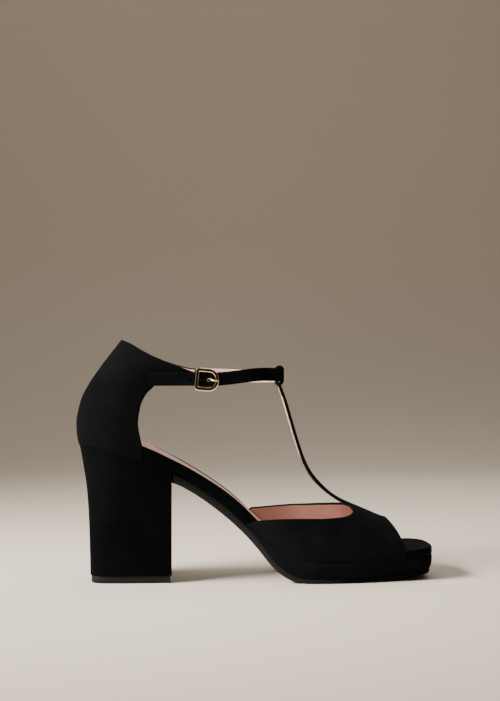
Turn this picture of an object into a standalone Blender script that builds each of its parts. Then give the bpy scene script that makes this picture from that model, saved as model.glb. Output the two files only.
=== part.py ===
"""Right T-strap sandal with a block heel, a low platform, an open toe and a buckled ankle strap.

Sizes are in millimetres, and MM turns them into the scene's metres.
+X points to the toe, -Y to the outer (lateral) side and +Z up. Z = 0 is the floor.
The tables run from the heel's middle line, and the finished pieces are moved so that
the origin lies under the middle of the shoe's length and width.
"""

import math
from collections import namedtuple

import bmesh
import bpy
import numpy as np
from mathutils import Matrix
from mathutils import Vector

MM = 0.001
GAP = 0.3                 # clearance between pieces that meet
MIDDLE = Vector((2.01, 1.4, 0.0))  # middle of the overall length and width, which becomes the origin

# Overall form
HEEL_END = -112.9         # back of the seat outline
HEEL_ROUND = -76.9        # where the seat begins to round towards the back
HEEL_POWER = 2.3
TOE_END = 118.8
TOE_ROUND = 100.0         # where the squared toe begins to round
TOE_POWER = 2.9
END_FLAT = 2.0            # half-width of the blunt ends of an outline
SOLE_STATIONS = 44
TURN_STATIONS = 6

# Walls and layers
VAMP_WALL = 1.5
BAR_WALL = 2.2            # the T-bar's doubled leather
COUNTER_WALL = 1.3
COUNTER_COVER = 1.9       # how far the insole steps in where the counter wraps its edge
VAMP_COVER = 2.6          # and where the vamp does
COVER_RAMP = 1.5
COUNTER_FRONT = -68.8
MEDIAL_TRIM = 2.4         # how far the counter's medial front edge lies behind the lateral one
TRIM_TOP = 122.0
TRIM_REACH = 12.0
WING_REAR = -5.5          # rear tip of the vamp's lateral wing
MEDIAL_WING_REAR = -7.5
TOE_SIDE = 97.6           # front edge of the vamp at the feather line
TOE_TOP = 89.5            # front edge of the vamp at the ridge
TOE_EDGE_POWER = 2.5
OUTSOLE = 3.4
OUTSOLE_WAIST = 4.9       # thicker under the shank
WAIST_STOP = -15.0        # where it starts to thin, and where it has its forefoot thickness
BALL_START = 8.0
OUTSOLE_INSET = 1.6
TURN_START = 9.0          # where the sole turns from the waist to the tread
TURN_STOP = 32.0
PLATFORM_START = -4.6
WEDGE_EDGE = 0.6          # thickness of the platform's feathered rear end
WEDGE_RAMP = 8.0          # length over which the outsole makes room for it
SOCK_FRONT = 66.0
SOCK_ROUND = 25.0
SOCK_INSET = 2.0
SOCK_THICKNESS = 0.9

# Heel
BREAST = -52.8
LIFT = 5.0
LIFT_INSET = 0.7
EDGE = 0.5                # small rounding of the floor edges
HEEL_STATIONS = 16

# T-bar and its loop
BAR_BASE = 60.0           # where the T-bar leaves the vamp
BAR_HALF = 4.0
BAR_BASE_HALF = 8.0
BAR_BASE_DROP = 0.85      # how far the flared base's edges lie below its middle
BAR_FLARE = 0.25          # share of the T-bar's length over which it narrows
BAR_SAG = 0.43            # how far the T-bar's edges curve back
BAR_STEPS = 24
BAR_SPLITS = 4
BAR_THIN = 0.85           # share of the T-bar's length where its wall starts to thin to the loop's
VAMP_ROWS = 7
VAMP_SPLITS = 3
LOOP_X = 18.85
LOOP_Z = 132.6
LOOP_DEPTH = 2.65         # half-depth of the loop, outside
LOOP_RISE = 3.8           # from the strap's middle line to where the loop turns over
LOOP_TURNS = 8

# Ankle strap
STRAP_WIDTH = 8.6
STRAP_THICKNESS = 1.6
STRAP_CHAMFER = 0.35
STRAP_BEND_X = -26.0      # where the strap starts to bend round the ankle
STRAP_SLOPE = 0.04        # rise towards the outer side across the instep
STRAP_OFFSET = 0.6        # height of the strap over the buckle's middle
STRAP_LEVEL = 10.0        # length before the loop over which the strap has its full slope
STRAP_TURNS = 34
TAIL_END = -69.0
MEDIAL_END = -59.0
TAIL_ROUND = 4.0
TAIL_BLUNT = 0.2          # share of the strap's width left at the tail's tip
TAIL_SHARES = (0.0, 0.02, 0.05, 0.09, 0.14, 0.2, 0.32, 0.44, 0.56, 0.68, 0.8, 0.9)
MEDIAL_SHARES = (0.15, 0.35, 0.6, 0.85, 1.0)

# Ears and buckle
EAR_HALF = 27.0           # half-width of the counter at the ears
EAR_LOW = 127.0           # lower edge of the ears
MEDIAL_EAR_END = -36.0
BAR_X = -33.0
BAR_RADIUS = 0.75
FOLD_RETURN = 7.0         # length of the ear's folded end inside
FOLD_TURNS = 6
FOLD_CLOSE = 0.75         # how far the fold has closed up at half of that length
EAR_COLUMNS = 7
COUNTER_SPREADS = 11
ROWS_BELOW_EAR = 10
ROWS_IN_EAR = 4
SLOT_ROWS = (1, 2)        # rows of the outer ear cut away round the prong's eye
WIRE = 0.9                # radius of the buckle's wire
BUCKLE_X = -30.4
BUCKLE_Z = 129.9
BUCKLE_TILT = math.radians(-5.0)
BUCKLE_BACK = -6.5
BUCKLE_TIP = 6.5
BUCKLE_HALF = 6.1
BUCKLE_TURN = 0.4         # where the frame starts to close towards its tip
BUCKLE_CORNER = 1.2
BUCKLE_FULLNESS = 0.85    # under 1 fills the frame out towards its tip
BUCKLE_TIP_STEPS = 14
BUCKLE_CORNER_STEPS = 3
PRONG = 0.62
PRONG_EYE = 0.42
PRONG_OVERHANG = 1.2      # how far the prong passes the frame's middle line
HOLE_PITCH = 6.0
HOLE_RADIUS = 0.9
PRONG_HOLE_X = -29.2
PRONG_HOLE_LENGTH = 2.5   # half-length of the prong's slot
PRONG_HOLE_HALF = 1.35

OutlineRow = namedtuple("OutlineRow", "x lateral medial")
# plan of the shoe: half-widths to both sides of its centre line
OUTLINE_ROWS = [
    OutlineRow(-86.0, 27.2, 27.2),
    OutlineRow(-70.0, 26.9, 26.2),
    OutlineRow(-57.0, 25.3, 23.8),
    OutlineRow(-45.0, 23.6, 21.0),
    OutlineRow(-33.0, 22.2, 18.8),
    OutlineRow(-20.0, 22.0, 17.6),
    OutlineRow(-8.0, 23.6, 18.3),
    OutlineRow(4.0, 27.4, 22.0),
    OutlineRow(12.0, 30.6, 26.0),
    OutlineRow(20.0, 33.4, 30.2),
    OutlineRow(30.0, 35.9, 34.4),
    OutlineRow(42.0, 37.4, 37.7),
    OutlineRow(58.0, 36.8, 40.2),
    OutlineRow(72.0, 34.8, 39.2),
    OutlineRow(86.0, 32.0, 35.6),
    OutlineRow(100.0, 28.8, 32.0),
    OutlineRow(119.0, 25.2, 28.0),
]

ProfileRow = namedtuple("ProfileRow", "x core top")
# side view of the insole: its underside, which is also the feather line, and its top
PROFILE_ROWS = [
    ProfileRow(-114.0, 87.5, 94.8),
    ProfileRow(-100.3, 87.1, 94.2),
    ProfileRow(-87.0, 82.8, 91.8),
    ProfileRow(-71.5, 78.8, 87.6),
    ProfileRow(-58.5, 74.5, 81.4),
    ProfileRow(-46.6, 68.1, 75.0),
    ProfileRow(-34.6, 60.0, 68.0),
    ProfileRow(-21.6, 50.7, 59.6),
    ProfileRow(-9.7, 40.7, 50.4),
    ProfileRow(2.2, 30.9, 39.4),
    ProfileRow(10.1, 24.5, 32.1),
    ProfileRow(18.0, 18.5, 25.9),
    ProfileRow(28.0, 15.8, 21.6),
    ProfileRow(40.0, 14.4, 19.6),
    ProfileRow(56.0, 13.8, 18.9),
    ProfileRow(72.0, 13.7, 18.9),
    ProfileRow(86.0, 14.0, 19.2),
    ProfileRow(100.0, 14.6, 20.0),
    ProfileRow(119.0, 15.6, 21.2),
]

GroundRow = namedtuple("GroundRow", "x ground")
# underside of the outsole, with its flat tread and toe spring
GROUND_ROWS = [
    GroundRow(-54.0, 64.6),
    GroundRow(-47.6, 61.9),
    GroundRow(-34.6, 54.1),
    GroundRow(-18.7, 42.1),
    GroundRow(-5.0, 29.5),
    GroundRow(2.4, 21.2),
    GroundRow(10.2, 11.6),
    GroundRow(15.1, 6.9),
    GroundRow(22.1, 2.4),
    GroundRow(28.0, 0.5),
    GroundRow(34.5, 0.0),
    GroundRow(64.0, 0.0),
    GroundRow(77.0, 0.6),
    GroundRow(93.0, 1.7),
    GroundRow(108.0, 3.0),
    GroundRow(119.0, 4.2),
]

RidgeRow = namedtuple("RidgeRow", "x z")
# top line of the last: instep along the T-bar, then the vamp
RIDGE_ROWS = [
    RidgeRow(19.6, 126.0),
    RidgeRow(23.2, 116.3),
    RidgeRow(27.5, 101.9),
    RidgeRow(31.6, 88.4),
    RidgeRow(35.7, 76.8),
    RidgeRow(40.3, 68.2),
    RidgeRow(46.5, 60.9),
    RidgeRow(52.1, 55.7),
    RidgeRow(57.4, 52.1),
    RidgeRow(63.0, 49.2),
    RidgeRow(71.0, 45.8),
    RidgeRow(79.0, 42.4),
    RidgeRow(87.0, 39.1),
    RidgeRow(100.0, 36.0),
]

WingRow = namedtuple("WingRow", "x lateral medial edge")
# topline of the vamp's wings on both sides, against its lower edge,
# where edge runs from 0 to 1 along the feather line and from 1 to 2 over the toe opening
WING_ROWS = [
    WingRow(1.2, 39.4, 43.4, 0.00),
    WingRow(16.0, 41.0, 43.8, 0.18),
    WingRow(31.0, 41.5, 44.3, 0.39),
    WingRow(47.0, 41.2, 45.1, 0.62),
    WingRow(56.9, 41.4, 45.9, 0.83),
    WingRow(63.4, 42.8, 46.6, 1.00),
]

ThroatRow = namedtuple("ThroatRow", "x lateral medial edge")
# girth on both sides, from the front of the side opening back along the T-bar
THROAT_ROWS = [
    ThroatRow(66.0, 0.365, 0.395, 1.30),
    ThroatRow(64.6, 0.412, 0.414, 1.60),
    ThroatRow(BAR_BASE, 0.430, 0.433, 1.86),
]

LoopRow = namedtuple("LoopRow", "forward drop")
# both feet of the loop, from its outside faces: front, upwards, and back, downwards
LOOP_FRONT_ROWS = [
    LoopRow(-0.90, 5.6),
    LoopRow(-0.20, 4.3),
    LoopRow(0.00, 2.5),
    LoopRow(0.00, 0.0),
]
LOOP_BACK_ROWS = [
    LoopRow(0.00, 0.0),
    LoopRow(0.00, 3.9),
    LoopRow(0.10, 5.0),
    LoopRow(0.30, 6.2),
]

LayerRow = namedtuple("LayerRow", "share inset")
# edge profiles of the layers, from the underside up
OUTSOLE_EDGE = [
    LayerRow(0.00, OUTSOLE_INSET + EDGE),
    LayerRow(0.15, OUTSOLE_INSET),
    LayerRow(1.00, OUTSOLE_INSET),
]
PLATFORM_EDGE = [
    LayerRow(0.00, 1.1),
    LayerRow(0.30, 0.3),
    LayerRow(0.70, 0.0),
    LayerRow(0.92, 0.1),
    LayerRow(1.00, 0.7),
]
INSOLE_EDGE = [
    LayerRow(0.00, 0.9),
    LayerRow(0.20, 0.0),
    LayerRow(0.78, 0.0),
    LayerRow(1.00, 1.4),
]
SOCK_EDGE = [
    LayerRow(0.00, SOCK_INSET),
    LayerRow(1.00, SOCK_INSET),
]
LIFT_EDGE = [
    LayerRow(0.00, LIFT_INSET + EDGE),
    LayerRow(0.10, LIFT_INSET),
    LayerRow(1.00, LIFT_INSET),
]

HeelRow = namedtuple("HeelRow", "share back half power seat")
# heel sections from the floor up: back, half-width, squareness and the share of the sole's own outline
HEEL_ROWS = [
    HeelRow(0.00, -105.1, 25.4, 7.0, 0.00),
    HeelRow(0.35, -105.9, 25.5, 6.0, 0.08),
    HeelRow(0.65, -107.6, 25.8, 4.6, 0.32),
    HeelRow(0.85, -110.2, 26.4, 3.6, 0.68),
    HeelRow(0.95, -111.7, 26.9, 3.0, 0.91),
    HeelRow(1.00, -112.6, 27.2, 2.6, 1.00),
]

CounterRow = namedtuple("CounterRow", "z back half depth")
# counter sections: back line, half-width and the depth over which the back rounds
COUNTER_ROWS = [
    CounterRow(78.0, -111.5, 27.0, 35.0),
    CounterRow(87.0, -112.9, 27.3, 36.0),
    CounterRow(94.0, -114.4, 27.8, 37.0),
    CounterRow(102.0, -114.8, 28.0, 38.0),
    CounterRow(110.0, -113.5, 27.9, 38.0),
    CounterRow(118.0, -111.3, 27.5, 38.0),
    CounterRow(127.0, -106.6, EAR_HALF, 36.0),
    CounterRow(136.0, -100.6, EAR_HALF, 35.0),
    CounterRow(144.0, -94.7, 25.4, 34.0),
    CounterRow(151.0, -89.2, 22.6, 33.0),
    CounterRow(158.0, -83.8, 19.5, 32.0),
]
PEAK = (-86.5, 156.0)     # x and z of the counter's point

FrontRow = namedtuple("FrontRow", "z x")
# front edge of the counter, up to the foot of the ear's upper edge
FRONT_ROWS = [
    FrontRow(78.7, -71.0),
    FrontRow(87.7, -71.7),
    FrontRow(93.2, -72.9),
    FrontRow(102.2, -74.2),
    FrontRow(113.1, -72.7),
    FrontRow(120.9, -69.1),
    FrontRow(EAR_LOW, -63.5),
    FrontRow(135.0, -61.8),
    FrontRow(143.4, -60.2),
]

ToplineRow = namedtuple("ToplineRow", "x lateral medial")
# topline of the counter and its ears
TOPLINE_ROWS = [
    ToplineRow(-86.5, 156.0, 156.0),
    ToplineRow(-78.6, 153.4, 153.4),
    ToplineRow(-70.4, 149.1, 149.1),
    ToplineRow(-60.2, 143.4, 143.4),
    ToplineRow(-51.6, 139.8, 140.3),
    ToplineRow(-44.7, 137.2, 138.4),
    ToplineRow(-37.8, 135.0, 137.0),
    ToplineRow(-29.8, 135.0, 137.0),
]

ProngRow = namedtuple("ProngRow", "along out taper")
# prong from its eye to the frame: shares of the way along and of the way out of the strap
PRONG_ROWS = [
    ProngRow(0.00, 0.04, 0.90),
    ProngRow(0.16, 0.25, 1.00),
    ProngRow(0.36, 0.58, 1.00),
    ProngRow(0.58, 0.86, 1.00),
    ProngRow(0.80, 1.00, 0.95),
    ProngRow(1.05, 1.00, 0.90),
]

PartColour = namedtuple("PartColour", "colour roughness metallic")
FINISHES = {
    "suede": PartColour((0.012, 0.011, 0.012), 0.9, 0.0),
    "wrapped": PartColour((0.015, 0.014, 0.015), 0.7, 0.0),
    "pink": PartColour((0.62, 0.30, 0.28), 0.5, 0.0),
    "rubber": PartColour((0.03, 0.032, 0.03), 0.6, 0.0),
    "gold": PartColour((0.78, 0.56, 0.30), 0.25, 1.0),
}


def smooth_curve(xs, ys):
    """Cubic through the rows of a table that keeps their rises, falls and flats."""
    xs = np.asarray(xs, float)
    ys = np.asarray(ys, float)
    steps = np.diff(xs)
    slopes = np.diff(ys) / steps
    tangents = np.zeros_like(ys)
    tangents[0] = slopes[0]
    tangents[-1] = slopes[-1]
    for i in range(1, len(xs) - 1):
        if slopes[i - 1] * slopes[i] > 0:
            before = 2 * steps[i] + steps[i - 1]
            after = steps[i] + 2 * steps[i - 1]
            tangents[i] = (before + after) / (before / slopes[i - 1] + after / slopes[i])

    def value(x):
        x = min(max(x, xs[0]), xs[-1])
        i = min(int(np.searchsorted(xs, x, side="right")) - 1, len(xs) - 2)
        step = steps[i]
        s = (x - xs[i]) / step
        return float(
            ys[i] * (1 + 2 * s) * (1 - s) ** 2
            + step * tangents[i] * s * (1 - s) ** 2
            + ys[i + 1] * s * s * (3 - 2 * s)
            + step * tangents[i + 1] * s * s * (s - 1)
        )

    return value


def column(rows, key, name):
    """One column of a table as a smooth curve over another."""
    return smooth_curve([getattr(row, key) for row in rows], [getattr(row, name) for row in rows])


lateral_width = column(OUTLINE_ROWS, "x", "lateral")
medial_width = column(OUTLINE_ROWS, "x", "medial")
core = column(PROFILE_ROWS, "x", "core")
insole_top = column(PROFILE_ROWS, "x", "top")
ground = column(GROUND_ROWS, "x", "ground")
ridge = column(RIDGE_ROWS, "x", "z")
heel_back = column(HEEL_ROWS, "share", "back")
heel_half = column(HEEL_ROWS, "share", "half")
heel_power = column(HEEL_ROWS, "share", "power")
heel_seat = column(HEEL_ROWS, "share", "seat")
counter_back = column(COUNTER_ROWS, "z", "back")
counter_half = column(COUNTER_ROWS, "z", "half")
counter_depth = column(COUNTER_ROWS, "z", "depth")
counter_front = column(FRONT_ROWS, "z", "x")
topline = {
    "lateral": column(TOPLINE_ROWS, "x", "lateral"),
    "medial": column(TOPLINE_ROWS, "x", "medial"),
}


def mix(a, b, share):
    return a + (b - a) * share


def rounded_end(x, begin, end, power):
    """Share of the width left between begin and end, on a superellipse."""
    share = min(max((x - begin) / (end - begin), 0.0), 1.0)
    return (1 - share ** power) ** (1 / power)


def outline_widths(x):
    """Lateral and medial half-width of the shoe at a station."""
    ends = rounded_end(x, HEEL_ROUND, HEEL_END, HEEL_POWER) * rounded_end(x, TOE_ROUND, TOE_END, TOE_POWER)
    return lateral_width(x) * ends, medial_width(x) * ends


def tread(x):
    """Upper side of the outsole, its thickness measured square to the slope."""
    reach = 1.0
    slope = (ground(x + reach) - ground(x - reach)) / (2 * reach)
    room = min(max((x - PLATFORM_START) / WEDGE_RAMP + 1.0, 0.0), 1.0) * (WEDGE_EDGE + GAP)
    thinning = min(max((x - WAIST_STOP) / (BALL_START - WAIST_STOP), 0.0), 1.0)
    thickness = mix(OUTSOLE_WAIST, OUTSOLE, thinning)
    return min(ground(x) + thickness * math.hypot(1.0, slope), core(x) - GAP - room)


def cover(x, y):
    """Step of the insole's edge under the counter and under the vamp."""
    rear = WING_REAR if y < 0 else MEDIAL_WING_REAR
    counter_share = (COUNTER_FRONT - x) / COVER_RAMP
    vamp_share = min(x - rear, TOE_SIDE + COVER_RAMP - x) / COVER_RAMP + 1.0
    return max(
        COUNTER_COVER * min(max(counter_share, 0.0), 1.0),
        VAMP_COVER * min(max(vamp_share, 0.0), 1.0),
    )


def both_ends(start, stop, count):
    """Stations crowded towards both ends."""
    return [mix(start, stop, (1 - math.cos(math.pi * i / count)) / 2) for i in range(count + 1)]


def one_end(fine, coarse, count):
    """Stations crowded towards the first end."""
    return [mix(fine, coarse, 1 - math.cos(math.pi * i / count / 2)) for i in range(count + 1)]


def sole_stations(start, stop):
    """Stations that all the layers of the sole share, between two of their own."""
    ramps = [COUNTER_FRONT - COVER_RAMP, COUNTER_FRONT]
    for rear in (WING_REAR, MEDIAL_WING_REAR):
        ramps += [rear - COVER_RAMP, rear]
    ramps += [TOE_SIDE + COVER_RAMP, TOE_SIDE + 2 * COVER_RAMP]
    turn = [mix(TURN_START, TURN_STOP, i / TURN_STATIONS) for i in range(TURN_STATIONS + 1)]
    shared = sorted(both_ends(HEEL_END, TOE_END, SOLE_STATIONS) + ramps + turn)
    return [start] + [x for x in shared if start + GAP < x < stop - GAP] + [stop]


def plan_loop(stations, widths):
    """Closed outline in plan: lateral points forward, then medial points back."""
    lateral = []
    medial = []
    for x in stations:
        left, right = widths(x)
        lateral.append((x, -max(left, END_FLAT)))
        medial.append((x, max(right, END_FLAT)))
    return np.array(lateral + medial[::-1])


def ring(loop, inset, height):
    """Outline moved square to itself, inwards, and lifted to a height that follows x."""
    along = np.roll(loop, -1, axis=0) - np.roll(loop, 1, axis=0)
    inward = np.stack([-along[:, 1], along[:, 0]], axis=1)
    inward /= np.linalg.norm(inward, axis=1)[:, None]
    moved = loop + inward * np.array([inset(x, y) for x, y in loop])[:, None]
    return [(x, y, height(x)) for x, y in moved]


def layer(loop, low, high, steps, base=lambda x, y: 0.0):
    """Rings of a layer between two heights: steps holds a share of the height and an inset for each ring."""
    rings = []
    for share, inset in steps:
        rings.append(
            ring(
                loop,
                lambda x, y, inset=inset: base(x, y) + inset,
                lambda x, share=share: mix(low(x), high(x), share),
            )
        )
    return rings


def material_for(name, finish):
    look = FINISHES[finish]
    material = bpy.data.materials.new(name)
    material.use_nodes = True
    shader = material.node_tree.nodes["Principled BSDF"]
    shader.inputs["Base Color"].default_value = (*look.colour, 1.0)
    shader.inputs["Roughness"].default_value = look.roughness
    shader.inputs["Metallic"].default_value = look.metallic
    return material


def to_origin(mesh):
    mesh.transform(Matrix.Translation(-MIDDLE * MM))


def add_object(name, mesh, finish):
    to_origin(mesh)
    mesh.shade_smooth()
    mesh.set_sharp_from_angle(angle=math.radians(35))
    mesh.materials.clear()
    mesh.materials.append(material_for(name, finish))
    part = bpy.data.objects.new(name, mesh)
    parts.objects.link(part)
    return part


def mesh_from(bm, name):
    mesh = bpy.data.meshes.new(name)
    bm.to_mesh(mesh)
    bm.free()
    return mesh


def add_loft(name, rings, finish):
    """Solid through rings of equal count, closed by rungs from side to side."""
    bm = bmesh.new()
    loops = [[bm.verts.new(Vector(point) * MM) for point in points] for points in rings]
    count = len(loops[0])
    for lower, upper in zip(loops, loops[1:]):
        for i in range(count):
            j = (i + 1) % count
            bm.faces.new((lower[i], lower[j], upper[j], upper[i]))
    for loop in (loops[0], loops[-1]):
        for i in range(count // 2 - 1):
            bm.faces.new((loop[i], loop[i + 1], loop[count - 2 - i], loop[count - 1 - i]))
    bmesh.ops.recalc_face_normals(bm, faces=bm.faces)
    return add_object(name, mesh_from(bm, name), finish)


def add_shell(name, points, faces, walls, finish):
    """Open surface with its wall, a thickness for each point, grown inwards."""
    bm = bmesh.new()
    verts = [bm.verts.new(Vector(point) * MM) for point in points]
    for face in faces:
        bm.faces.new([verts[i] for i in face])
    part = add_object(name, mesh_from(bm, name), finish)
    thickest = max(walls)
    group = part.vertex_groups.new(name="wall")
    for number, wall in enumerate(walls):
        group.add([number], wall / thickest, "REPLACE")
    solidify = part.modifiers.new("wall", "SOLIDIFY")
    solidify.vertex_group = group.name
    solidify.thickness = thickest * MM
    solidify.offset = -1.0
    solidify.use_even_offset = True
    return part


def tube_mesh(name, points, radius, tapers, cyclic):
    """Round wire along points, as a closed mesh."""
    curve = bpy.data.curves.new(name, "CURVE")
    curve.dimensions = "3D"
    curve.bevel_depth = radius * MM
    curve.bevel_resolution = 2
    curve.use_fill_caps = True
    spline = curve.splines.new("POLY")
    spline.points.add(len(points) - 1)
    for spot, point, taper in zip(spline.points, points, tapers):
        spot.co = (*(Vector(point) * MM), 1.0)
        spot.radius = taper
    spline.use_cyclic_u = cyclic
    wire = bpy.data.objects.new(name, curve)
    bpy.context.scene.collection.objects.link(wire)
    graph = bpy.context.evaluated_depsgraph_get()
    mesh = bpy.data.meshes.new_from_object(wire.evaluated_get(graph))
    bpy.data.objects.remove(wire)
    bm = bmesh.new()
    bm.from_mesh(mesh)
    bmesh.ops.remove_doubles(bm, verts=bm.verts, dist=0.00001)
    bmesh.ops.recalc_face_normals(bm, faces=bm.faces)
    bm.to_mesh(mesh)
    bm.free()
    return mesh


def add_cutter(name, mesh):
    to_origin(mesh)
    cutter = bpy.data.objects.new(name, mesh)
    cutter.hide_render = True
    cutter.display_type = "WIRE"
    cutters.objects.link(cutter)
    return cutter


def add_boolean(part, tool, operation):
    boolean = part.modifiers.new(tool.name, "BOOLEAN")
    boolean.object = tool
    boolean.operation = operation
    boolean.solver = "EXACT"


def make_sole():
    """Outsole, platform, insole and sock, each a layer of the shoe's outline."""
    add_loft(
        "outsole",
        layer(
            plan_loop(sole_stations(BREAST + GAP, TOE_END), outline_widths),
            ground,
            tread,
            OUTSOLE_EDGE,
        ),
        "rubber",
    )

    add_loft(
        "platform",
        layer(
            plan_loop(sole_stations(PLATFORM_START, TOE_END), outline_widths),
            lambda x: tread(x) + GAP,
            lambda x: core(x) - GAP,
            PLATFORM_EDGE,
        ),
        "suede",
    )

    insole_loop = plan_loop(sole_stations(HEEL_END, TOE_END), outline_widths)
    add_loft("insole", layer(insole_loop, core, insole_top, INSOLE_EDGE, cover), "wrapped")

    def sock_widths(x):
        front = rounded_end(x, SOCK_FRONT - SOCK_ROUND, SOCK_FRONT, HEEL_POWER)
        return tuple(width * front for width in outline_widths(x))

    sock_loop = plan_loop(sole_stations(HEEL_END, SOCK_FRONT - SOCK_INSET), sock_widths)
    add_loft(
        "sock",
        layer(
            sock_loop,
            lambda x: insole_top(x) + GAP,
            lambda x: insole_top(x) + GAP + SOCK_THICKNESS,
            SOCK_EDGE,
            cover,
        ),
        "pink",
    )


def heel_loop(share):
    """Plan of the heel at a share of its height."""
    back = heel_back(share)

    def widths(x):
        block = heel_half(share) * rounded_end(x, BREAST, back, heel_power(share))
        seat = rounded_end(x, HEEL_ROUND + back - HEEL_END, back, HEEL_POWER)
        return tuple(mix(block, width(x) * seat, heel_seat(share)) for width in (lateral_width, medial_width))

    return plan_loop(one_end(back, BREAST, HEEL_STATIONS), widths)


def make_heel():
    """Block heel up to the seat, and its rubber lift."""
    rings = []
    for row in HEEL_ROWS:
        height = lambda x, share=row.share: mix(LIFT + GAP, core(x) - GAP, share)
        rings.append(ring(heel_loop(row.share), lambda x, y: 0.0, height))
    add_loft("heel_block", rings, "suede")

    floor_loop = heel_loop(0.0)
    add_loft("top_lift", layer(floor_loop, lambda x: 0.0, lambda x: LIFT, LIFT_EDGE), "rubber")


def last_point(x, girth):
    """Outside of the last: girth runs from the lateral feather line (0) over the ridge to the medial (1)."""
    lateral, medial = outline_widths(x)
    turn = math.pi * girth
    low = core(x)
    y = (medial - lateral) / 2 - (medial + lateral) / 2 * math.cos(turn)
    return x, y, low + (ridge(x) - low) * math.sin(turn)


def lower_edge(edge, rear):
    """Station and girth along the feather line (0 to 1) and over the toe opening (1 to 2)."""
    if edge <= 1.0:
        return mix(rear, TOE_SIDE, edge), 0.0
    girth = (edge - 1.0) / 2
    return TOE_SIDE - (TOE_SIDE - TOE_TOP) * math.sin(math.pi * girth) ** TOE_EDGE_POWER, girth


def girth_at(x, z):
    """Girth of the point of the last at a station and height, on the lateral side."""
    low = core(x)
    return math.asin(min((z - low) / (ridge(x) - low), 1.0)) / math.pi


def vamp_columns(side, rear):
    """Lower and upper end of each line across one half of the vamp, from its rear tip to the T-bar."""
    rows = WING_ROWS + THROAT_ROWS
    places = range(len(rows))
    x_at = smooth_curve(places, [row.x for row in rows])
    edge_at = smooth_curve(places, [row.edge for row in rows])
    wing_end = len(WING_ROWS) - 1
    z_at = smooth_curve(places[:wing_end + 1], [getattr(row, side) for row in WING_ROWS])
    throat_girths = [girth_at(x_at(wing_end), z_at(wing_end))] + [getattr(row, side) for row in THROAT_ROWS]
    throat_at = smooth_curve(places[wing_end:], throat_girths)
    columns = []
    for i in range((len(rows) - 1) * VAMP_SPLITS + 1):
        place = i / VAMP_SPLITS
        x = x_at(place)
        girth = girth_at(x, z_at(place)) if place <= wing_end else throat_at(place)
        columns.append((lower_edge(edge_at(place), rear), (x, girth)))
    return columns


def mirrored(columns):
    """The same lines read from the medial side, in the opposite order."""
    return [((low[0], 1 - low[1]), (high[0], 1 - high[1])) for low, high in reversed(columns)]


def bar_path(count):
    """Side view of the T-bar from the vamp up, evenly spaced."""
    rows = [row for row in RIDGE_ROWS if row.x < BAR_BASE][::-1]
    line = np.array([(BAR_BASE, ridge(BAR_BASE))] + [(row.x, row.z) for row in rows])
    run = np.concatenate([[0.0], np.cumsum(np.linalg.norm(np.diff(line, axis=0), axis=1))])
    x_at = smooth_curve(run, line[:, 0])
    z_at = smooth_curve(run, line[:, 1])
    return [(x_at(run[-1] * i / count), z_at(run[-1] * i / count)) for i in range(1, count + 1)]


def loop_path():
    """Side view of the loop: up the front of the strap, over it, and down behind the T-bar."""
    front = LOOP_X + LOOP_DEPTH
    back = LOOP_X - LOOP_DEPTH
    path = [(front + row.forward, LOOP_Z - row.drop) for row in LOOP_FRONT_ROWS]
    for i in range(LOOP_TURNS + 1):
        turn = math.pi * i / LOOP_TURNS
        rise = LOOP_RISE + LOOP_DEPTH * math.sin(turn)
        path.append((LOOP_X + LOOP_DEPTH * math.cos(turn), LOOP_Z + rise))
    return path + [(back + row.forward, LOOP_Z - row.drop) for row in LOOP_BACK_ROWS]


def make_vamp():
    """Front upper: a band between the toe opening, feather line and topline, with the T-bar and its loop."""
    half = vamp_columns("lateral", WING_REAR)
    other = mirrored(vamp_columns("medial", MEDIAL_WING_REAR))
    middle = []
    for i in range(1, BAR_SPLITS):
        share = i / BAR_SPLITS
        low_girth = mix(half[-1][0][1], other[0][0][1], share)
        low, _ = lower_edge(1.0 + 2 * min(low_girth, 1 - low_girth), WING_REAR)
        middle.append(((low, low_girth), (BAR_BASE, mix(half[-1][1][1], other[0][1][1], share))))
    columns = half + middle + other

    points = []
    faces = []
    for row in range(VAMP_ROWS + 1):
        share = row / VAMP_ROWS
        for low, high in columns:
            points.append(last_point(mix(low[0], high[0], share), mix(low[1], high[1], share)))
    wide = len(columns)
    for row in range(VAMP_ROWS):
        for i in range(wide - 1):
            a = row * wide + i
            faces.append((a, a + 1, a + 1 + wide, a + wide))

    first = VAMP_ROWS * wide + len(half) - 1
    below = [first + i for i in range(BAR_SPLITS + 1)]
    base_y = sum(points[i][1] for i in below) / len(below)
    path = bar_path(BAR_STEPS)
    steps = path + loop_path()
    walls = [VAMP_WALL] * len(points)
    for number, (x, z) in enumerate(steps, 1):
        rise = min(number / len(path), 1.0)
        doubled = max(min(rise / BAR_FLARE, (1.0 - rise) / (1.0 - BAR_THIN), 1.0), 0.0)
        walls += [mix(VAMP_WALL, BAR_WALL, doubled)] * (BAR_SPLITS + 1)
        reach = mix(BAR_HALF, BAR_BASE_HALF, (1.0 - min(rise / BAR_FLARE, 1.0)) ** 2)
        drop = BAR_BASE_DROP * (reach / BAR_BASE_HALF) ** 2
        centre = mix(base_y, 0.0, rise)
        above = []
        for i in range(BAR_SPLITS + 1):
            across = 2 * i / BAR_SPLITS - 1
            above.append(len(points))
            points.append((x - BAR_SAG * across ** 2, centre + across * reach, z - drop * across ** 2))
        for i in range(BAR_SPLITS):
            faces.append((below[i], below[i + 1], above[i + 1], above[i]))
        below = above
    add_shell("vamp", points, faces, walls, "suede")


def counter_width(x, z):
    """Half-width of the counter's outside."""
    share = min(max((x - counter_back(z)) / counter_depth(z), 0.0), 1.0)
    return counter_half(z) * (1 - (1 - share) ** HEEL_POWER) ** (1 / HEEL_POWER)


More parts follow.
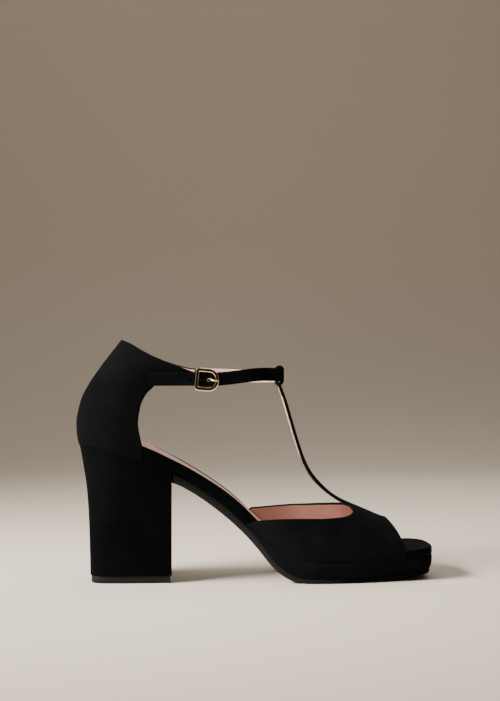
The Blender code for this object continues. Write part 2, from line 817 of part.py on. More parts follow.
def counter_rows():
    """Shares of the height of the counter's front edge, with one row at the ear's lower edge."""
    low = FRONT_ROWS[0].z
    high = FRONT_ROWS[-1].z
    ear = (EAR_LOW - low) / (high - low)
    below = [ear * i / ROWS_BELOW_EAR for i in range(ROWS_BELOW_EAR)]
    return below + [mix(ear, 1.0, i / ROWS_IN_EAR) for i in range(ROWS_IN_EAR + 1)]


def counter_side(side, shares, spread):
    """Side view of one half of the counter at a spread of 0 (back) to 1 (front edge)."""
    fan = 1 - math.cos(spread * math.pi / 2)
    low_front = FRONT_ROWS[0]
    high_front = FRONT_ROWS[-1]
    trim = MEDIAL_TRIM if side == "medial" else 0.0
    low_x = mix(HEEL_END, low_front.x - trim, fan)
    low = core(low_x)
    high = topline[side](mix(PEAK[0], high_front.x, fan))
    places = []
    for share in shares:
        z = mix(low, high, share)
        front = counter_front(mix(low_front.z, high_front.z, share))
        front -= trim * min(max((TRIM_TOP - z) / TRIM_REACH, 0.0), 1.0)
        places.append((mix(counter_back(z), front, fan), z))
    return places


def ear_places(side, end, shares):
    """Side view of an ear, from the counter's front edge to its end."""
    columns = []
    for i in range(1, EAR_COLUMNS + 1):
        column_places = []
        for share in shares:
            z_front = mix(FRONT_ROWS[0].z, FRONT_ROWS[-1].z, share)
            x = mix(counter_front(z_front), end, i / EAR_COLUMNS)
            ear_share = (share - shares[0]) / (1.0 - shares[0])
            column_places.append((x, mix(EAR_LOW, topline[side](x), ear_share)))
        columns.append(column_places)
    return columns


def fold_profile():
    """Plan of the outer ear's end: half a turn round the buckle's bar, then back along the inside."""
    radius = BAR_RADIUS + GAP + COUNTER_WALL
    centre = EAR_HALF - radius
    profile = []
    for i in range(1, FOLD_TURNS + 1):
        turn = math.pi * i / FOLD_TURNS
        profile.append((BAR_X + radius * math.sin(turn), centre + radius * math.cos(turn)))
    inside = EAR_HALF - 2 * COUNTER_WALL - GAP
    profile.append((BAR_X - FOLD_RETURN / 2, mix(centre - radius, inside, FOLD_CLOSE)))
    profile.append((BAR_X - FOLD_RETURN, inside))
    return profile


def make_counter():
    """Back upper from the seat to its point, with an ear on both sides."""
    shares = counter_rows()
    ear_shares = shares[ROWS_BELOW_EAR:]
    tall = len(shares)
    points = []
    faces = []
    grid = []

    def add_column(places, sign):
        grid_column = []
        for x, z in places:
            grid_column.append(len(points))
            points.append((x, sign * counter_width(x, z), z))
        return grid_column

    for i in range(COUNTER_SPREADS, 0, -1):
        grid.append(add_column(counter_side("lateral", shares, i / COUNTER_SPREADS), -1))
    for i in range(COUNTER_SPREADS + 1):
        grid.append(add_column(counter_side("medial", shares, i / COUNTER_SPREADS), 1))
    for first, second in zip(grid, grid[1:]):
        for row in range(tall - 1):
            faces.append((first[row], first[row + 1], second[row + 1], second[row]))

    near = grid[0][ROWS_BELOW_EAR:]
    ear_columns = ear_places("lateral", BAR_X, ear_shares)
    for places in ear_columns:
        ahead = add_column(places, -1)
        for row in range(len(ear_shares) - 1):
            if row not in SLOT_ROWS or places is not ear_columns[-1]:
                faces.append((ahead[row], ahead[row + 1], near[row + 1], near[row]))
        near = ahead
    end_heights = [points[i][2] for i in near]
    for number, (x, half) in enumerate(fold_profile()):
        ahead = []
        for z in end_heights:
            lean = (BUCKLE_Z - z) * math.tan(BUCKLE_TILT)
            ahead.append(len(points))
            points.append((x + lean, -half, z))
        for row in range(len(ear_shares) - 1):
            if row not in SLOT_ROWS or number > FOLD_TURNS:
                faces.append((ahead[row], ahead[row + 1], near[row + 1], near[row]))
        near = ahead

    near = grid[-1][ROWS_BELOW_EAR:]
    for places in ear_places("medial", MEDIAL_EAR_END, ear_shares):
        ahead = add_column(places, 1)
        for row in range(len(ear_shares) - 1):
            faces.append((near[row], near[row + 1], ahead[row + 1], ahead[row]))
        near = ahead
    add_shell("counter", points, faces, [COUNTER_WALL] * len(points), "suede")


def strap_half():
    """Distance of the strap's middle from the shoe's centre line beside the ears."""
    return EAR_HALF + GAP + STRAP_THICKNESS / 2


def strap_path():
    """Middle line of the strap from its tail, round the instep, to the medial ear."""
    reach = LOOP_X - STRAP_BEND_X
    half = strap_half()
    path = []
    for share in TAIL_SHARES:
        path.append((mix(TAIL_END, STRAP_BEND_X, share), -half))
    for i in range(STRAP_TURNS + 1):
        turn = math.pi * (i / STRAP_TURNS - 0.5)
        path.append((STRAP_BEND_X + reach * math.cos(turn), half * math.sin(turn)))
    for share in MEDIAL_SHARES:
        path.append((mix(STRAP_BEND_X, MEDIAL_END, share), half))
    return path


def strap_height(x, y):
    """Height of the strap's middle line: lower beside the buckle, sloping across the instep."""
    instep = LOOP_Z - STRAP_SLOPE * y
    beside = BUCKLE_Z + STRAP_OFFSET if y < 0 else LOOP_Z
    share = min(max((x - STRAP_BEND_X) / (LOOP_X - STRAP_BEND_X - STRAP_LEVEL), 0.0), 1.0)
    return mix(beside, instep, share * share * (3 - 2 * share))


def make_strap():
    """Ankle strap with its rounded tail, and the holes for the prong."""
    path = strap_path()
    rings = []
    half_thick = STRAP_THICKNESS / 2
    for i, (x, y) in enumerate(path):
        before = path[max(i - 1, 0)]
        after = path[min(i + 1, len(path) - 1)]
        along = Vector((after[0] - before[0], after[1] - before[1], 0.0)).normalized()
        out = Vector((along.y, -along.x, 0.0))
        from_tail = (x - TAIL_END) / TAIL_ROUND if y < 0 else 1.0
        shape = max(math.sqrt(1 - (1 - min(from_tail, 1.0)) ** 2), TAIL_BLUNT)
        half_wide = STRAP_WIDTH / 2 * shape
        chamfer = min(STRAP_CHAMFER, half_wide / 3)
        middle = Vector((x, y, strap_height(x, y)))
        corners = [
            (half_thick, half_wide - chamfer),
            (half_thick - chamfer, half_wide),
            (chamfer - half_thick, half_wide),
            (-half_thick, half_wide - chamfer),
            (-half_thick, chamfer - half_wide),
            (chamfer - half_thick, -half_wide),
            (half_thick - chamfer, -half_wide),
            (half_thick, chamfer - half_wide),
        ]
        rings.append([tuple(middle + out * u + Vector((0, 0, w))) for u, w in corners])
    strap = add_loft("ankle_strap", rings, "suede")

    for number in range(3):
        bm = bmesh.new()
        bmesh.ops.create_cone(bm, cap_ends=True, segments=12, radius1=1.0, radius2=1.0, depth=1.0)
        bmesh.ops.rotate(bm, verts=bm.verts, matrix=Matrix.Rotation(math.pi / 2, 3, "X"))
        long_half = PRONG_HOLE_LENGTH if number == 0 else HOLE_RADIUS
        tall_half = PRONG_HOLE_HALF if number == 0 else HOLE_RADIUS
        size = Vector((long_half, 4 * STRAP_THICKNESS, tall_half)) * MM
        bmesh.ops.scale(bm, verts=bm.verts, vec=size)
        place = Vector((PRONG_HOLE_X - number * HOLE_PITCH, -strap_half(), BUCKLE_Z)) * MM
        bmesh.ops.translate(bm, verts=bm.verts, vec=place)
        bmesh.ops.recalc_face_normals(bm, faces=bm.faces)
        name = f"strap_hole_{number + 1}"
        add_boolean(strap, add_cutter(name, mesh_from(bm, name)), "DIFFERENCE")


def buckle_place(along, up, depth):
    """World place of a point of the buckle: along its strap, up, and in from the frame's plane."""
    x = BUCKLE_X + along * math.cos(BUCKLE_TILT) - up * math.sin(BUCKLE_TILT)
    z = BUCKLE_Z + along * math.sin(BUCKLE_TILT) + up * math.cos(BUCKLE_TILT)
    plane = strap_half() + STRAP_THICKNESS / 2 + GAP + WIRE
    return x, depth - plane, z


def bar_depth():
    """Depth of the centre bar behind the frame's plane."""
    plane = strap_half() + STRAP_THICKNESS / 2 + GAP + WIRE
    return plane - (EAR_HALF - BAR_RADIUS - GAP - COUNTER_WALL)


def make_buckle():
    """D-shaped frame with its centre bar behind the strap, and the prong."""
    outline = []
    for i in range(BUCKLE_TIP_STEPS + 1):
        turn = math.pi * (i / BUCKLE_TIP_STEPS - 0.5)
        along = BUCKLE_TURN + (BUCKLE_TIP - BUCKLE_TURN) * math.cos(turn) ** BUCKLE_FULLNESS
        outline.append((along, BUCKLE_HALF * math.sin(turn)))
    corner = []
    for i in range(BUCKLE_CORNER_STEPS + 1):
        turn = math.pi / 2 * (1 + i / BUCKLE_CORNER_STEPS)
        along = BUCKLE_BACK + BUCKLE_CORNER * (1 + math.cos(turn))
        corner.append((along, BUCKLE_HALF - BUCKLE_CORNER * (1 - math.sin(turn))))
    outline += corner + [(along, -up) for along, up in reversed(corner)]
    frame_points = [buckle_place(along, up, 0.0) for along, up in outline]
    frame_mesh = tube_mesh("buckle_frame", frame_points, WIRE, [1.0] * len(frame_points), True)
    frame = add_object("buckle_frame", frame_mesh, "gold")

    bar_along = (BAR_X - BUCKLE_X) / math.cos(BUCKLE_TILT)
    deep = bar_depth()
    bend = 1.0
    staple = []
    for sign in (1, -1):
        leg = [(BUCKLE_HALF, 0.0), (BUCKLE_HALF, deep - bend), (BUCKLE_HALF - bend, deep)]
        if sign < 0:
            leg = leg[::-1]
        staple += [buckle_place(bar_along, sign * up, depth) for up, depth in leg]
    bar = add_cutter("buckle_bar", tube_mesh("buckle_bar", staple, BAR_RADIUS, [1.0] * len(staple), False))
    add_boolean(frame, bar, "UNION")

    eye_radius = BAR_RADIUS + GAP + PRONG_EYE
    bpy.ops.mesh.primitive_torus_add(
        major_radius=eye_radius * MM,
        minor_radius=PRONG_EYE * MM,
        major_segments=16,
        minor_segments=8,
        location=(Vector(buckle_place(bar_along, 0.0, deep)) - MIDDLE) * MM,
        rotation=(0.0, -BUCKLE_TILT, 0.0),
    )
    eye = bpy.context.object
    eye.name = "prong_eye"
    eye.hide_render = True
    eye.display_type = "WIRE"
    for holder in list(eye.users_collection):
        holder.objects.unlink(eye)
    cutters.objects.link(eye)

    root = bar_along + eye_radius
    over = -WIRE - GAP - PRONG
    prong_points = []
    for row in PRONG_ROWS:
        prong_points.append(buckle_place(mix(root, BUCKLE_TIP, row.along), 0.0, mix(deep, over, row.out)))
    prong_points.append(buckle_place(BUCKLE_TIP + PRONG_OVERHANG, 0.0, over + PRONG / 4))
    tapers = [row.taper for row in PRONG_ROWS] + [PRONG]
    prong_mesh = tube_mesh("buckle_prong", prong_points, PRONG, tapers, False)
    prong = add_object("buckle_prong", prong_mesh, "gold")
    add_boolean(prong, eye, "UNION")


for old in list(bpy.data.objects):
    bpy.data.objects.remove(old)

parts = bpy.data.collections.new("sandal")
cutters = bpy.data.collections.new("cutters")
bpy.context.scene.collection.children.link(parts)
bpy.context.scene.collection.children.link(cutters)

make_sole()
make_heel()
make_vamp()
make_counter()
make_strap()
make_buckle()
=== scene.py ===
import math

import bmesh
import bpy
import numpy as np
from mathutils import Matrix, Vector, geometry, kdtree


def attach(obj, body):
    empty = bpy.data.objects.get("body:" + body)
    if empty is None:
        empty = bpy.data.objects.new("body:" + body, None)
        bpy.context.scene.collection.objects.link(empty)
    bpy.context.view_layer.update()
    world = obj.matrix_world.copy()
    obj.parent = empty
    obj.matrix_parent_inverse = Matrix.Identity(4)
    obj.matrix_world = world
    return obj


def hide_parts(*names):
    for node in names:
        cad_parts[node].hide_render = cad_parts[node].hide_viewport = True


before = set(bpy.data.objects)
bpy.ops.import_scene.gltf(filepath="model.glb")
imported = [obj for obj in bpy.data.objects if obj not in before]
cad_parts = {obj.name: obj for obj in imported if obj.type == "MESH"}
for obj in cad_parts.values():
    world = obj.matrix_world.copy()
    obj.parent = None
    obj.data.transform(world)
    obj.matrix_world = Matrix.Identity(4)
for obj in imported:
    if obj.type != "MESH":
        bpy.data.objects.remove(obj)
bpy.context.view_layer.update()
print("frame loaded")

mm = 0.001
gap = 0.3
seam = 0.04      # between layers that touch
weld = 0.0005    # points closer than this are one
middle = Vector((2.01, 1.4, 0.0))   # the tables' own origin lies this far from the frame's


# the last and the sole: x, then half-widths, heights or lines at that station
lastForm = {
    "heelEnd": -112.9, "heelRound": -76.9, "heelPower": 2.3,
    "toeEnd": 118.8, "toeRound": 100.0, "toePower": 2.9,
    "endFlat": 2.0,
    "outline": [
        (-86, 27.2, 27.2), (-70, 26.9, 26.2), (-57, 25.3, 23.8), (-45, 23.6, 21.0), (-33, 22.2, 18.8),
        (-20, 22.0, 17.6), (-8, 23.6, 18.3), (4, 27.4, 22.0), (12, 30.6, 26.0), (20, 33.4, 30.2),
        (30, 35.9, 34.4), (42, 37.4, 37.7), (58, 36.8, 40.2), (72, 34.8, 39.2), (86, 32.0, 35.6),
        (100, 28.8, 32.0), (119, 25.2, 28.0),
    ],
    "profile": [
        (-114, 87.5, 94.8), (-100.3, 87.1, 94.2), (-87, 82.8, 91.8), (-71.5, 78.8, 87.6),
        (-58.5, 74.5, 81.4), (-46.6, 68.1, 75.0), (-34.6, 60.0, 68.0), (-21.6, 50.7, 59.6),
        (-9.7, 40.7, 50.4), (2.2, 30.9, 39.4), (10.1, 24.5, 32.1), (18, 18.5, 25.9), (28, 15.8, 21.6),
        (40, 14.4, 19.6), (56, 13.8, 18.9), (72, 13.7, 18.9), (86, 14.0, 19.2), (100, 14.6, 20.0),
        (119, 15.6, 21.2),
    ],
    "ground": [
        (-54, 64.6), (-47.6, 61.9), (-34.6, 54.1), (-18.7, 42.1), (-5, 29.5), (2.4, 21.2), (10.2, 11.6),
        (15.1, 6.9), (22.1, 2.4), (28, 0.5), (34.5, 0.0), (64, 0.0), (77, 0.6), (93, 1.7), (108, 3.0),
        (119, 4.2),
    ],
    "ridge": [
        (19.6, 126.0), (23.2, 116.3), (27.5, 101.9), (31.6, 88.4), (35.7, 76.8), (40.3, 68.2), (46.5, 60.9),
        (52.1, 55.7), (57.4, 52.1), (63, 49.2), (71, 45.8), (79, 42.4), (87, 39.1), (100, 36.0),
    ],
}


def mix(a, b, share):
    return a + (b - a) * share


def clamp(value):
    return min(max(value, 0.0), 1.0)


def shareOf(value, start, stop):
    return clamp((value - start) / (stop - start))


def smoothCurve(xs, ys):
    # cubic that keeps the rises, falls and flats of its points
    xs = np.asarray(xs, float)
    ys = np.asarray(ys, float)
    steps = np.diff(xs)
    slopes = np.diff(ys) / steps
    tangents = np.zeros_like(ys)
    tangents[0] = slopes[0]
    tangents[-1] = slopes[-1]
    for i in range(1, len(xs) - 1):
        if slopes[i - 1] * slopes[i] > 0:
            before = 2 * steps[i] + steps[i - 1]
            after = steps[i] + 2 * steps[i - 1]
            tangents[i] = (before + after) / (before / slopes[i - 1] + after / slopes[i])

    def value(x):
        x = min(max(x, xs[0]), xs[-1])
        i = min(int(np.searchsorted(xs, x, side="right")) - 1, len(xs) - 2)
        s = (x - xs[i]) / steps[i]
        return float(
            ys[i] * (1 + 2 * s) * (1 - s) ** 2 + steps[i] * tangents[i] * s * (1 - s) ** 2
            + ys[i + 1] * s * s * (3 - 2 * s) + steps[i] * tangents[i + 1] * s * s * (s - 1)
        )

    return value


def tableCurve(rows, place):
    return smoothCurve([row[0] for row in rows], [row[place] for row in rows])


lateralAt = tableCurve(lastForm["outline"], 1)
medialAt = tableCurve(lastForm["outline"], 2)
coreAt = tableCurve(lastForm["profile"], 1)
insoleTopAt = tableCurve(lastForm["profile"], 2)
groundAt = tableCurve(lastForm["ground"], 1)
ridgeAt = tableCurve(lastForm["ridge"], 1)


def roundedEnd(x, begin, end, power):
    share = shareOf(x, begin, end)
    return (1 - share ** power) ** (1 / power)


def outlineWidths(x):
    ends = roundedEnd(x, lastForm["heelRound"], lastForm["heelEnd"], lastForm["heelPower"])
    ends *= roundedEnd(x, lastForm["toeRound"], lastForm["toeEnd"], lastForm["toePower"])
    return lateralAt(x) * ends, medialAt(x) * ends


def bothEnds(start, stop, count):
    return [mix(start, stop, (1 - math.cos(math.pi * i / count)) / 2) for i in range(count + 1)]


def oneEnd(fine, coarse, count):
    return [mix(fine, coarse, 1 - math.cos(math.pi * i / count / 2)) for i in range(count + 1)]


# mesh helpers
def paramGrid(columns, rows):
    bm = bmesh.new()
    along = bm.verts.layers.float.new("along")
    across = bm.verts.layers.float.new("across")
    bmesh.ops.create_grid(bm, x_segments=columns, y_segments=rows, size=0.5)
    wide = max(v.co.x for v in bm.verts)
    tall = max(v.co.y for v in bm.verts)
    for v in bm.verts:
        v[along] = v.co.x / wide / 2 + 0.5
        v[across] = v.co.y / tall / 2 + 0.5
    return bm, along, across


def stack(levels, rungs):
    # closed solid through levels, each a left and a right line of points with rungs between them
    count = len(levels[0][0])
    bm, along, across = paramGrid(count - 1, rungs)
    faces = list(bm.faces)
    for number, (left, right) in enumerate(levels):
        if number:
            grown = bmesh.ops.extrude_face_region(bm, geom=faces)["geom"]
            if number > 1:
                bmesh.ops.delete(bm, geom=faces, context="FACES")
            faces = [item for item in grown if isinstance(item, bmesh.types.BMFace)]
        for v in {v for face in faces for v in face.verts}:
            i = round(v[along] * (count - 1))
            v.co = left[i].lerp(right[i], v[across])
    bmesh.ops.recalc_face_normals(bm, faces=bm.faces)
    return bm


def extrudeChain(bm, chain, rows):
    # grows an open edge of a sheet through rows of places
    for row in rows:
        edges = [bm.edges.get((a, b)) for a, b in zip(chain, chain[1:])]
        grown = bmesh.ops.extrude_edge_only(bm, edges=edges)["geom"]
        fresh = {item for item in grown if isinstance(item, bmesh.types.BMVert)}
        chain = [next(e.other_vert(v) for e in v.link_edges if e.other_vert(v) in fresh) for v in chain]
        for v, place in zip(chain, row):
            v.co = place
    return chain


def sweep(frames, closed=False):
    # skin through sections: each frame has a centre, two directions and the section's places along them
    count = len(frames[0][3])
    wide = len(frames) if closed else len(frames) - 1
    bm, along, across = paramGrid(wide, count)
    for v in bm.verts:
        centre, first, second, section = frames[round(v[along] * wide) % len(frames)]
        u, w = section[round(v[across] * count) % count]
        v.co = centre + first * u + second * w
    return bm, across


def closeSweep(bm):
    bmesh.ops.remove_doubles(bm, verts=bm.verts, dist=weld)
    bmesh.ops.holes_fill(bm, edges=[e for e in bm.edges if e.is_boundary], sides=0)
    bmesh.ops.recalc_face_normals(bm, faces=bm.faces)


def joinInto(target, source):
    mesh = bpy.data.meshes.new("joined")
    source.to_mesh(mesh)
    source.free()
    target.from_mesh(mesh)
    bpy.data.meshes.remove(mesh)


def roundedSection(wide, deep, soft, steps=3):
    section = []
    for number, (a, b) in enumerate([(1, 1), (-1, 1), (-1, -1), (1, -1)]):
        for i in range(steps):
            turn = math.pi / 2 * (number + i / (steps - 1))
            section.append((a * (wide / 2 - soft) + soft * math.cos(turn),
                            b * (deep / 2 - soft) + soft * math.sin(turn)))
    return section


def linkObject(name, data):
    made = bpy.data.objects.new(name, data)
    bpy.context.scene.collection.objects.link(made)
    return made


def addPiece(name, bm, materials, sharpAngle=38):
    for v in bm.verts:
        v.co = (v.co - middle) * mm
    mesh = bpy.data.meshes.new(name)
    bm.to_mesh(mesh)
    bm.free()
    mesh.shade_smooth()
    mesh.set_sharp_from_angle(angle=math.radians(sharpAngle))
    for material in materials:
        mesh.materials.append(material)
    piece = linkObject(name, mesh)
    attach(piece, "root")
    return piece


def addSolidify(piece, wall, group="", even=True):
    solidify = piece.modifiers.new("wall", "SOLIDIFY")
    solidify.thickness = wall * mm
    solidify.offset = -1.0
    solidify.use_even_offset = even
    solidify.vertex_group = group
    return solidify


def addBevel(piece, width, segments=2, angle=50):
    bevel = piece.modifiers.new("edge", "BEVEL")
    bevel.width = width * mm
    bevel.segments = segments
    bevel.limit_method = "ANGLE"
    bevel.angle_limit = math.radians(angle)


# materials
def newGroup(name, inputs, outputs):
    group = bpy.data.node_groups.new(name, "ShaderNodeTree")
    group.interface.new_socket("Vector", in_out="INPUT", socket_type="NodeSocketVector")
    for title, value in inputs.items():
        socket = group.interface.new_socket(title, in_out="INPUT", socket_type="NodeSocketFloat")
        socket.default_value = value
    for title in outputs:
        group.interface.new_socket(title, in_out="OUTPUT", socket_type="NodeSocketFloat")
    source = group.nodes.new("NodeGroupInput")
    target = group.nodes.new("NodeGroupOutput")
    return group, source, target


def setInputs(tree, node, inputs):
    # links what comes from another node and sets the rest
    for title, value in inputs.items():
        if isinstance(value, bpy.types.NodeSocket):
            tree.links.new(value, node.inputs[title])
        else:
            node.inputs[title].default_value = value


def addNode(tree, kind, inputs):
    node = tree.nodes.new("ShaderNode" + kind)
    setInputs(tree, node, inputs)
    return node


def addNoise(tree, vector, scale, detail, roughness):
    inputs = {"Vector": vector, "Scale": scale, "Detail": detail, "Roughness": roughness}
    return addNode(tree, "TexNoise", inputs).outputs["Fac"]


def addBump(tree, height, strength, depth):
    inputs = {"Height": height, "Strength": strength, "Distance": depth * mm}
    return addNode(tree, "Bump", inputs).outputs["Normal"]


def addMath(tree, operation, a, b):
    node = addNode(tree, "Math", {0: a, 1: b})
    node.operation = operation
    return node.outputs["Value"]


def addShares(tree, first, share, second):
    # a share of the first value and the rest of the second
    return addMath(tree, "ADD", addMath(tree, "MULTIPLY", first, share),
                   addMath(tree, "MULTIPLY", second, 1 - share))


def addBlend(tree, factor, under, over):
    blend = tree.nodes.new("ShaderNodeMix")
    blend.data_type = "RGBA"
    places = {socket.identifier: number for number, socket in enumerate(blend.inputs)}
    titles = {"Factor_Float": factor, "A_Color": under, "B_Color": over}
    setInputs(tree, blend, {places[title]: value for title, value in titles.items()})
    return next(socket for socket in blend.outputs if socket.identifier == "Result_Color")


nap = {"scales": {"Patches": 45.0, "Strokes": 420.0, "Fibres": 2600.0}, "strokeShare": 0.4, "patchShare": 0.6}
grain = {
    "scales": {"Cells": 900.0, "Clouds": 60.0}, "fineScale": 3200.0,
    "rimSlope": 6.0, "rimShare": 0.7, "cloudShare": 0.8,
}


def makeNapGroup():
    # brushed nap: wide patches, short strokes and single fibres
    group, source, target = newGroup("suedeNap", nap["scales"], ("Shade", "Height"))
    vector = source.outputs["Vector"]
    patches = addNoise(group, vector, source.outputs["Patches"], detail=3.0, roughness=0.55)
    strokes = addNoise(group, vector, source.outputs["Strokes"], detail=4.0, roughness=0.6)
    fibres = addNoise(group, vector, source.outputs["Fibres"], detail=2.0, roughness=0.6)
    fine = addShares(group, strokes, nap["strokeShare"], fibres)
    shade = addShares(group, patches, nap["patchShare"], fine)
    setInputs(group, target, {"Shade": shade, "Height": fine})
    return group


def makeGrainGroup():
    # leather grain: small cells with pores and soft clouding
    group, source, target = newGroup("leatherGrain", grain["scales"], ("Shade", "Height"))
    vector = source.outputs["Vector"]
    cells = addNode(group, "TexVoronoi", {"Vector": vector, "Scale": source.outputs["Cells"]})
    cells.feature = "DISTANCE_TO_EDGE"
    slope = addMath(group, "MULTIPLY", cells.outputs["Distance"], grain["rimSlope"])
    rim = addMath(group, "MINIMUM", slope, 1.0)
    clouds = addNoise(group, vector, source.outputs["Clouds"], detail=3.0, roughness=0.5)
    fine = addNoise(group, vector, grain["fineScale"], detail=2.0, roughness=0.6)
    height = addShares(group, rim, grain["rimShare"], fine)
    shade = addShares(group, clouds, grain["cloudShare"], rim)
    setInputs(group, target, {"Shade": shade, "Height": height})
    return group


napGroup = makeNapGroup()
grainGroup = makeGrainGroup()


def addAttribute(tree, title):
    attribute = tree.nodes.new("ShaderNodeAttribute")
    attribute.attribute_name = title
    return attribute.outputs["Fac"]


def finishMaterial(name, look):
    material = bpy.data.materials.new(name)
    material.use_nodes = True
    tree = material.node_tree
    place = tree.nodes.new("ShaderNodeTexCoord").outputs["Object"]
    effect = tree.nodes.new("ShaderNodeGroup")
    effect.node_tree = look["group"]
    setInputs(tree, effect, {"Vector": place, **look.get("scales", {})})
    shade = effect.outputs["Shade"]
    ramp = addNode(tree, "ValToRGB", {"Fac": shade})
    tones = (look["dark"], look["light"])
    for element, position, tone in zip(ramp.color_ramp.elements, look["range"], tones):
        element.position = position
        element.color = (*tone, 1)
    colour = ramp.outputs["Color"]
    if "rim" in look:
        # the edge's own colour within a short way of the rim
        near, far = look["rim"]
        inside = {"Value": addAttribute(tree, "rim"), "From Min": near, "From Max": far}
        inside = addNode(tree, "MapRange", inside).outputs["Result"]
        colour = addBlend(tree, inside, (*look["rimColour"], 1), colour)
    least, most = look["rough"]
    rough = addNode(tree, "MapRange", {"Value": shade, "To Min": least, "To Max": most})
    bump = addBump(tree, effect.outputs["Height"], look["bump"], look["depth"])
    varying = {"Base Color": colour, "Roughness": rough.outputs["Result"], "Normal": bump}
    if "polish" in look:
        # coat that varies over the piece
        varying["Coat Weight"] = addMath(tree, "MULTIPLY", addAttribute(tree, "polish"), look["polish"])
    setInputs(tree, tree.nodes["Principled BSDF"], {**look["shader"], **varying})
    return material


def napShader(sheen):
    return {"Specular IOR Level": 0.01, "Sheen Weight": sheen, "Sheen Roughness": 0.45,
            "Sheen Tint": (0.8, 0.8, 0.82, 1)}


napLook = {"group": napGroup, "range": (0.3, 0.7), "rough": (0.9, 1.0), "bump": 0.5, "depth": 0.25}
grainLook = {"group": grainGroup, "range": (0.3, 0.75), "bump": 0.2, "depth": 0.05}
pinkLook = {**grainLook, "rough": (0.48, 0.6), "depth": 0.06, "shader": {"Specular IOR Level": 0.3}}
giltLook = {
    "group": grainGroup, "range": (0.2, 0.8), "bump": 0.05, "depth": 0.02,
    "scales": {"Cells": 300.0, "Clouds": 500.0}, "shader": {"Metallic": 1.0},
}
finishes = {
    "suede": {
        **napLook, "dark": (0.0021, 0.0024, 0.0028), "light": (0.0058, 0.0065, 0.0073),
        "shader": napShader(0.006),
    },
    "suedeHeel": {
        **napLook, "dark": (0.0015, 0.0016, 0.0018), "light": (0.0034, 0.0036, 0.0039),
        "bump": 0.4, "depth": 0.2, "shader": napShader(0.005),
    },
    "suedeBack": {
        **napLook, "dark": (0.0023, 0.0025, 0.0027), "light": (0.0051, 0.0054, 0.0057),
        "shader": napShader(0.01),
    },
    "wrapped": {
        **grainLook, "dark": (0.001, 0.0015, 0.0018), "light": (0.0021, 0.0029, 0.0034),
        "rough": (0.6, 0.72), "bump": 0.25, "depth": 0.08, "shader": {"Specular IOR Level": 0.015},
    },
    "pinkLeather": {**pinkLook, "dark": (0.74, 0.46, 0.39), "light": (0.84, 0.56, 0.49)},
    "pinkLining": {
        **pinkLook, "dark": (0.72, 0.41, 0.335), "light": (0.82, 0.5, 0.42),
        "rim": (0.75, 0.95), "rimColour": (0.004, 0.004, 0.004),
    },
    "soleSheet": {
        **grainLook, "dark": (0.002, 0.0025, 0.0025), "light": (0.0034, 0.0042, 0.0042),
        "rough": (0.6, 0.7), "bump": 0.15, "polish": 0.4,
        "shader": {"Specular IOR Level": 0.02, "Coat Roughness": 0.42},
    },
    "edgePaint": {
        **grainLook, "dark": (0.0018, 0.0018, 0.0019), "light": (0.0036, 0.0036, 0.0038),
        "rough": (0.55, 0.65), "shader": {"Specular IOR Level": 0.04},
    },
    "thread": {
        **grainLook, "dark": (0.006, 0.0065, 0.007), "light": (0.011, 0.0115, 0.012),
        "rough": (0.6, 0.75), "bump": 0.3, "depth": 0.04,
        "scales": {"Cells": 4000.0}, "shader": {"Specular IOR Level": 0.1},
    },
    "liftRubber": {
        **grainLook, "dark": (0.0052, 0.0066, 0.0068), "light": (0.0086, 0.0104, 0.0107),
        "rough": (0.5, 0.65), "shader": {"Specular IOR Level": 0.15},
    },
    "gilt": {**giltLook, "dark": (0.86, 0.66, 0.40), "light": (0.94, 0.77, 0.52), "rough": (0.14, 0.24)},
    # gold darkened for the buckle's flat faces: painted dark reflection, the metal is one gold all over
    "giltPaintedDarkFace": {
        **giltLook, "dark": (0.05, 0.038, 0.022), "light": (0.08, 0.062, 0.036), "rough": (0.2, 0.3),
    },
}
looks = {name: finishMaterial(name, look) for name, look in finishes.items()}
print("materials made")


# sole: outsole, platform, insole and sock as layers of the outline
sole = {
    "stations": 120, "rungs": 16,
    "outsole": 3.4, "outsoleWaist": 4.9, "waistStop": -15.0, "ballStart": 8.0, "breast": -52.8,
    "platformStart": -4.6, "wedgeEdge": 0.6, "wedgeRamp": 8.0,
    "outsoleEdge": [(0.0, 2.1), (0.06, 1.8), (0.15, 1.6), (0.9, 1.6), (1.0, 1.7)],
    "platformEdge": [(0.0, 1.1), (0.12, 0.65), (0.3, 0.3), (0.5, 0.1), (0.7, 0.0), (0.84, 0.02), (0.93, 0.2),
                     (1.0, 0.7)],
    "insoleEdge": [(0.0, 0.9), (0.08, 0.35), (0.2, 0.0), (0.6, 0.0), (0.78, 0.1, 0.4), (0.9, 0.4, 0.75),
                   (0.97, 0.75, 0.95), (1.0, 1.15, 1.0), (1.0, 1.6, 0.85), (1.0, 1.95, 0.2), (1.0, 2.1, 0.0)],
    "lip": 1.0,
    "lipRows": [(-112, 0.0), (-68, 0.0), (-64, 0.5), (-55, 0.6), (-46, 1.0), (-12, 1.0), (-5, 0.7), (3, 0.0),
                (118, 0.0)],
    "merge": 0.5, "mergeFrom": 56.0, "mergeFull": 70.0, "polish": (26.0, 62.0),
    "sockEdge": [(0.0, 2.0), (0.7, 2.0), (0.92, 2.12), (1.0, 2.4)],
    "sockFront": 76.0, "sockRound": 25.0, "sockBlunt": 2.0, "sockRise": 0.35,
    "counterFront": -68.8, "counterCover": 1.9, "vampCover": 2.6, "coverRamp": 1.5, "coverShift": 3.0,
    "wingRear": {"lateral": -5.5, "medial": -7.5}, "toeSide": 97.6,
}


def treadAt(x):
    slope = (groundAt(x + 1) - groundAt(x - 1)) / 2
    room = clamp((x - sole["platformStart"]) / sole["wedgeRamp"] + 1) * (sole["wedgeEdge"] + gap)
    thinning = shareOf(x, sole["waistStop"], sole["ballStart"])
    thickness = mix(sole["outsoleWaist"], sole["outsole"], thinning)
    return min(groundAt(x) + thickness * math.hypot(1, slope), coreAt(x) - seam - room)


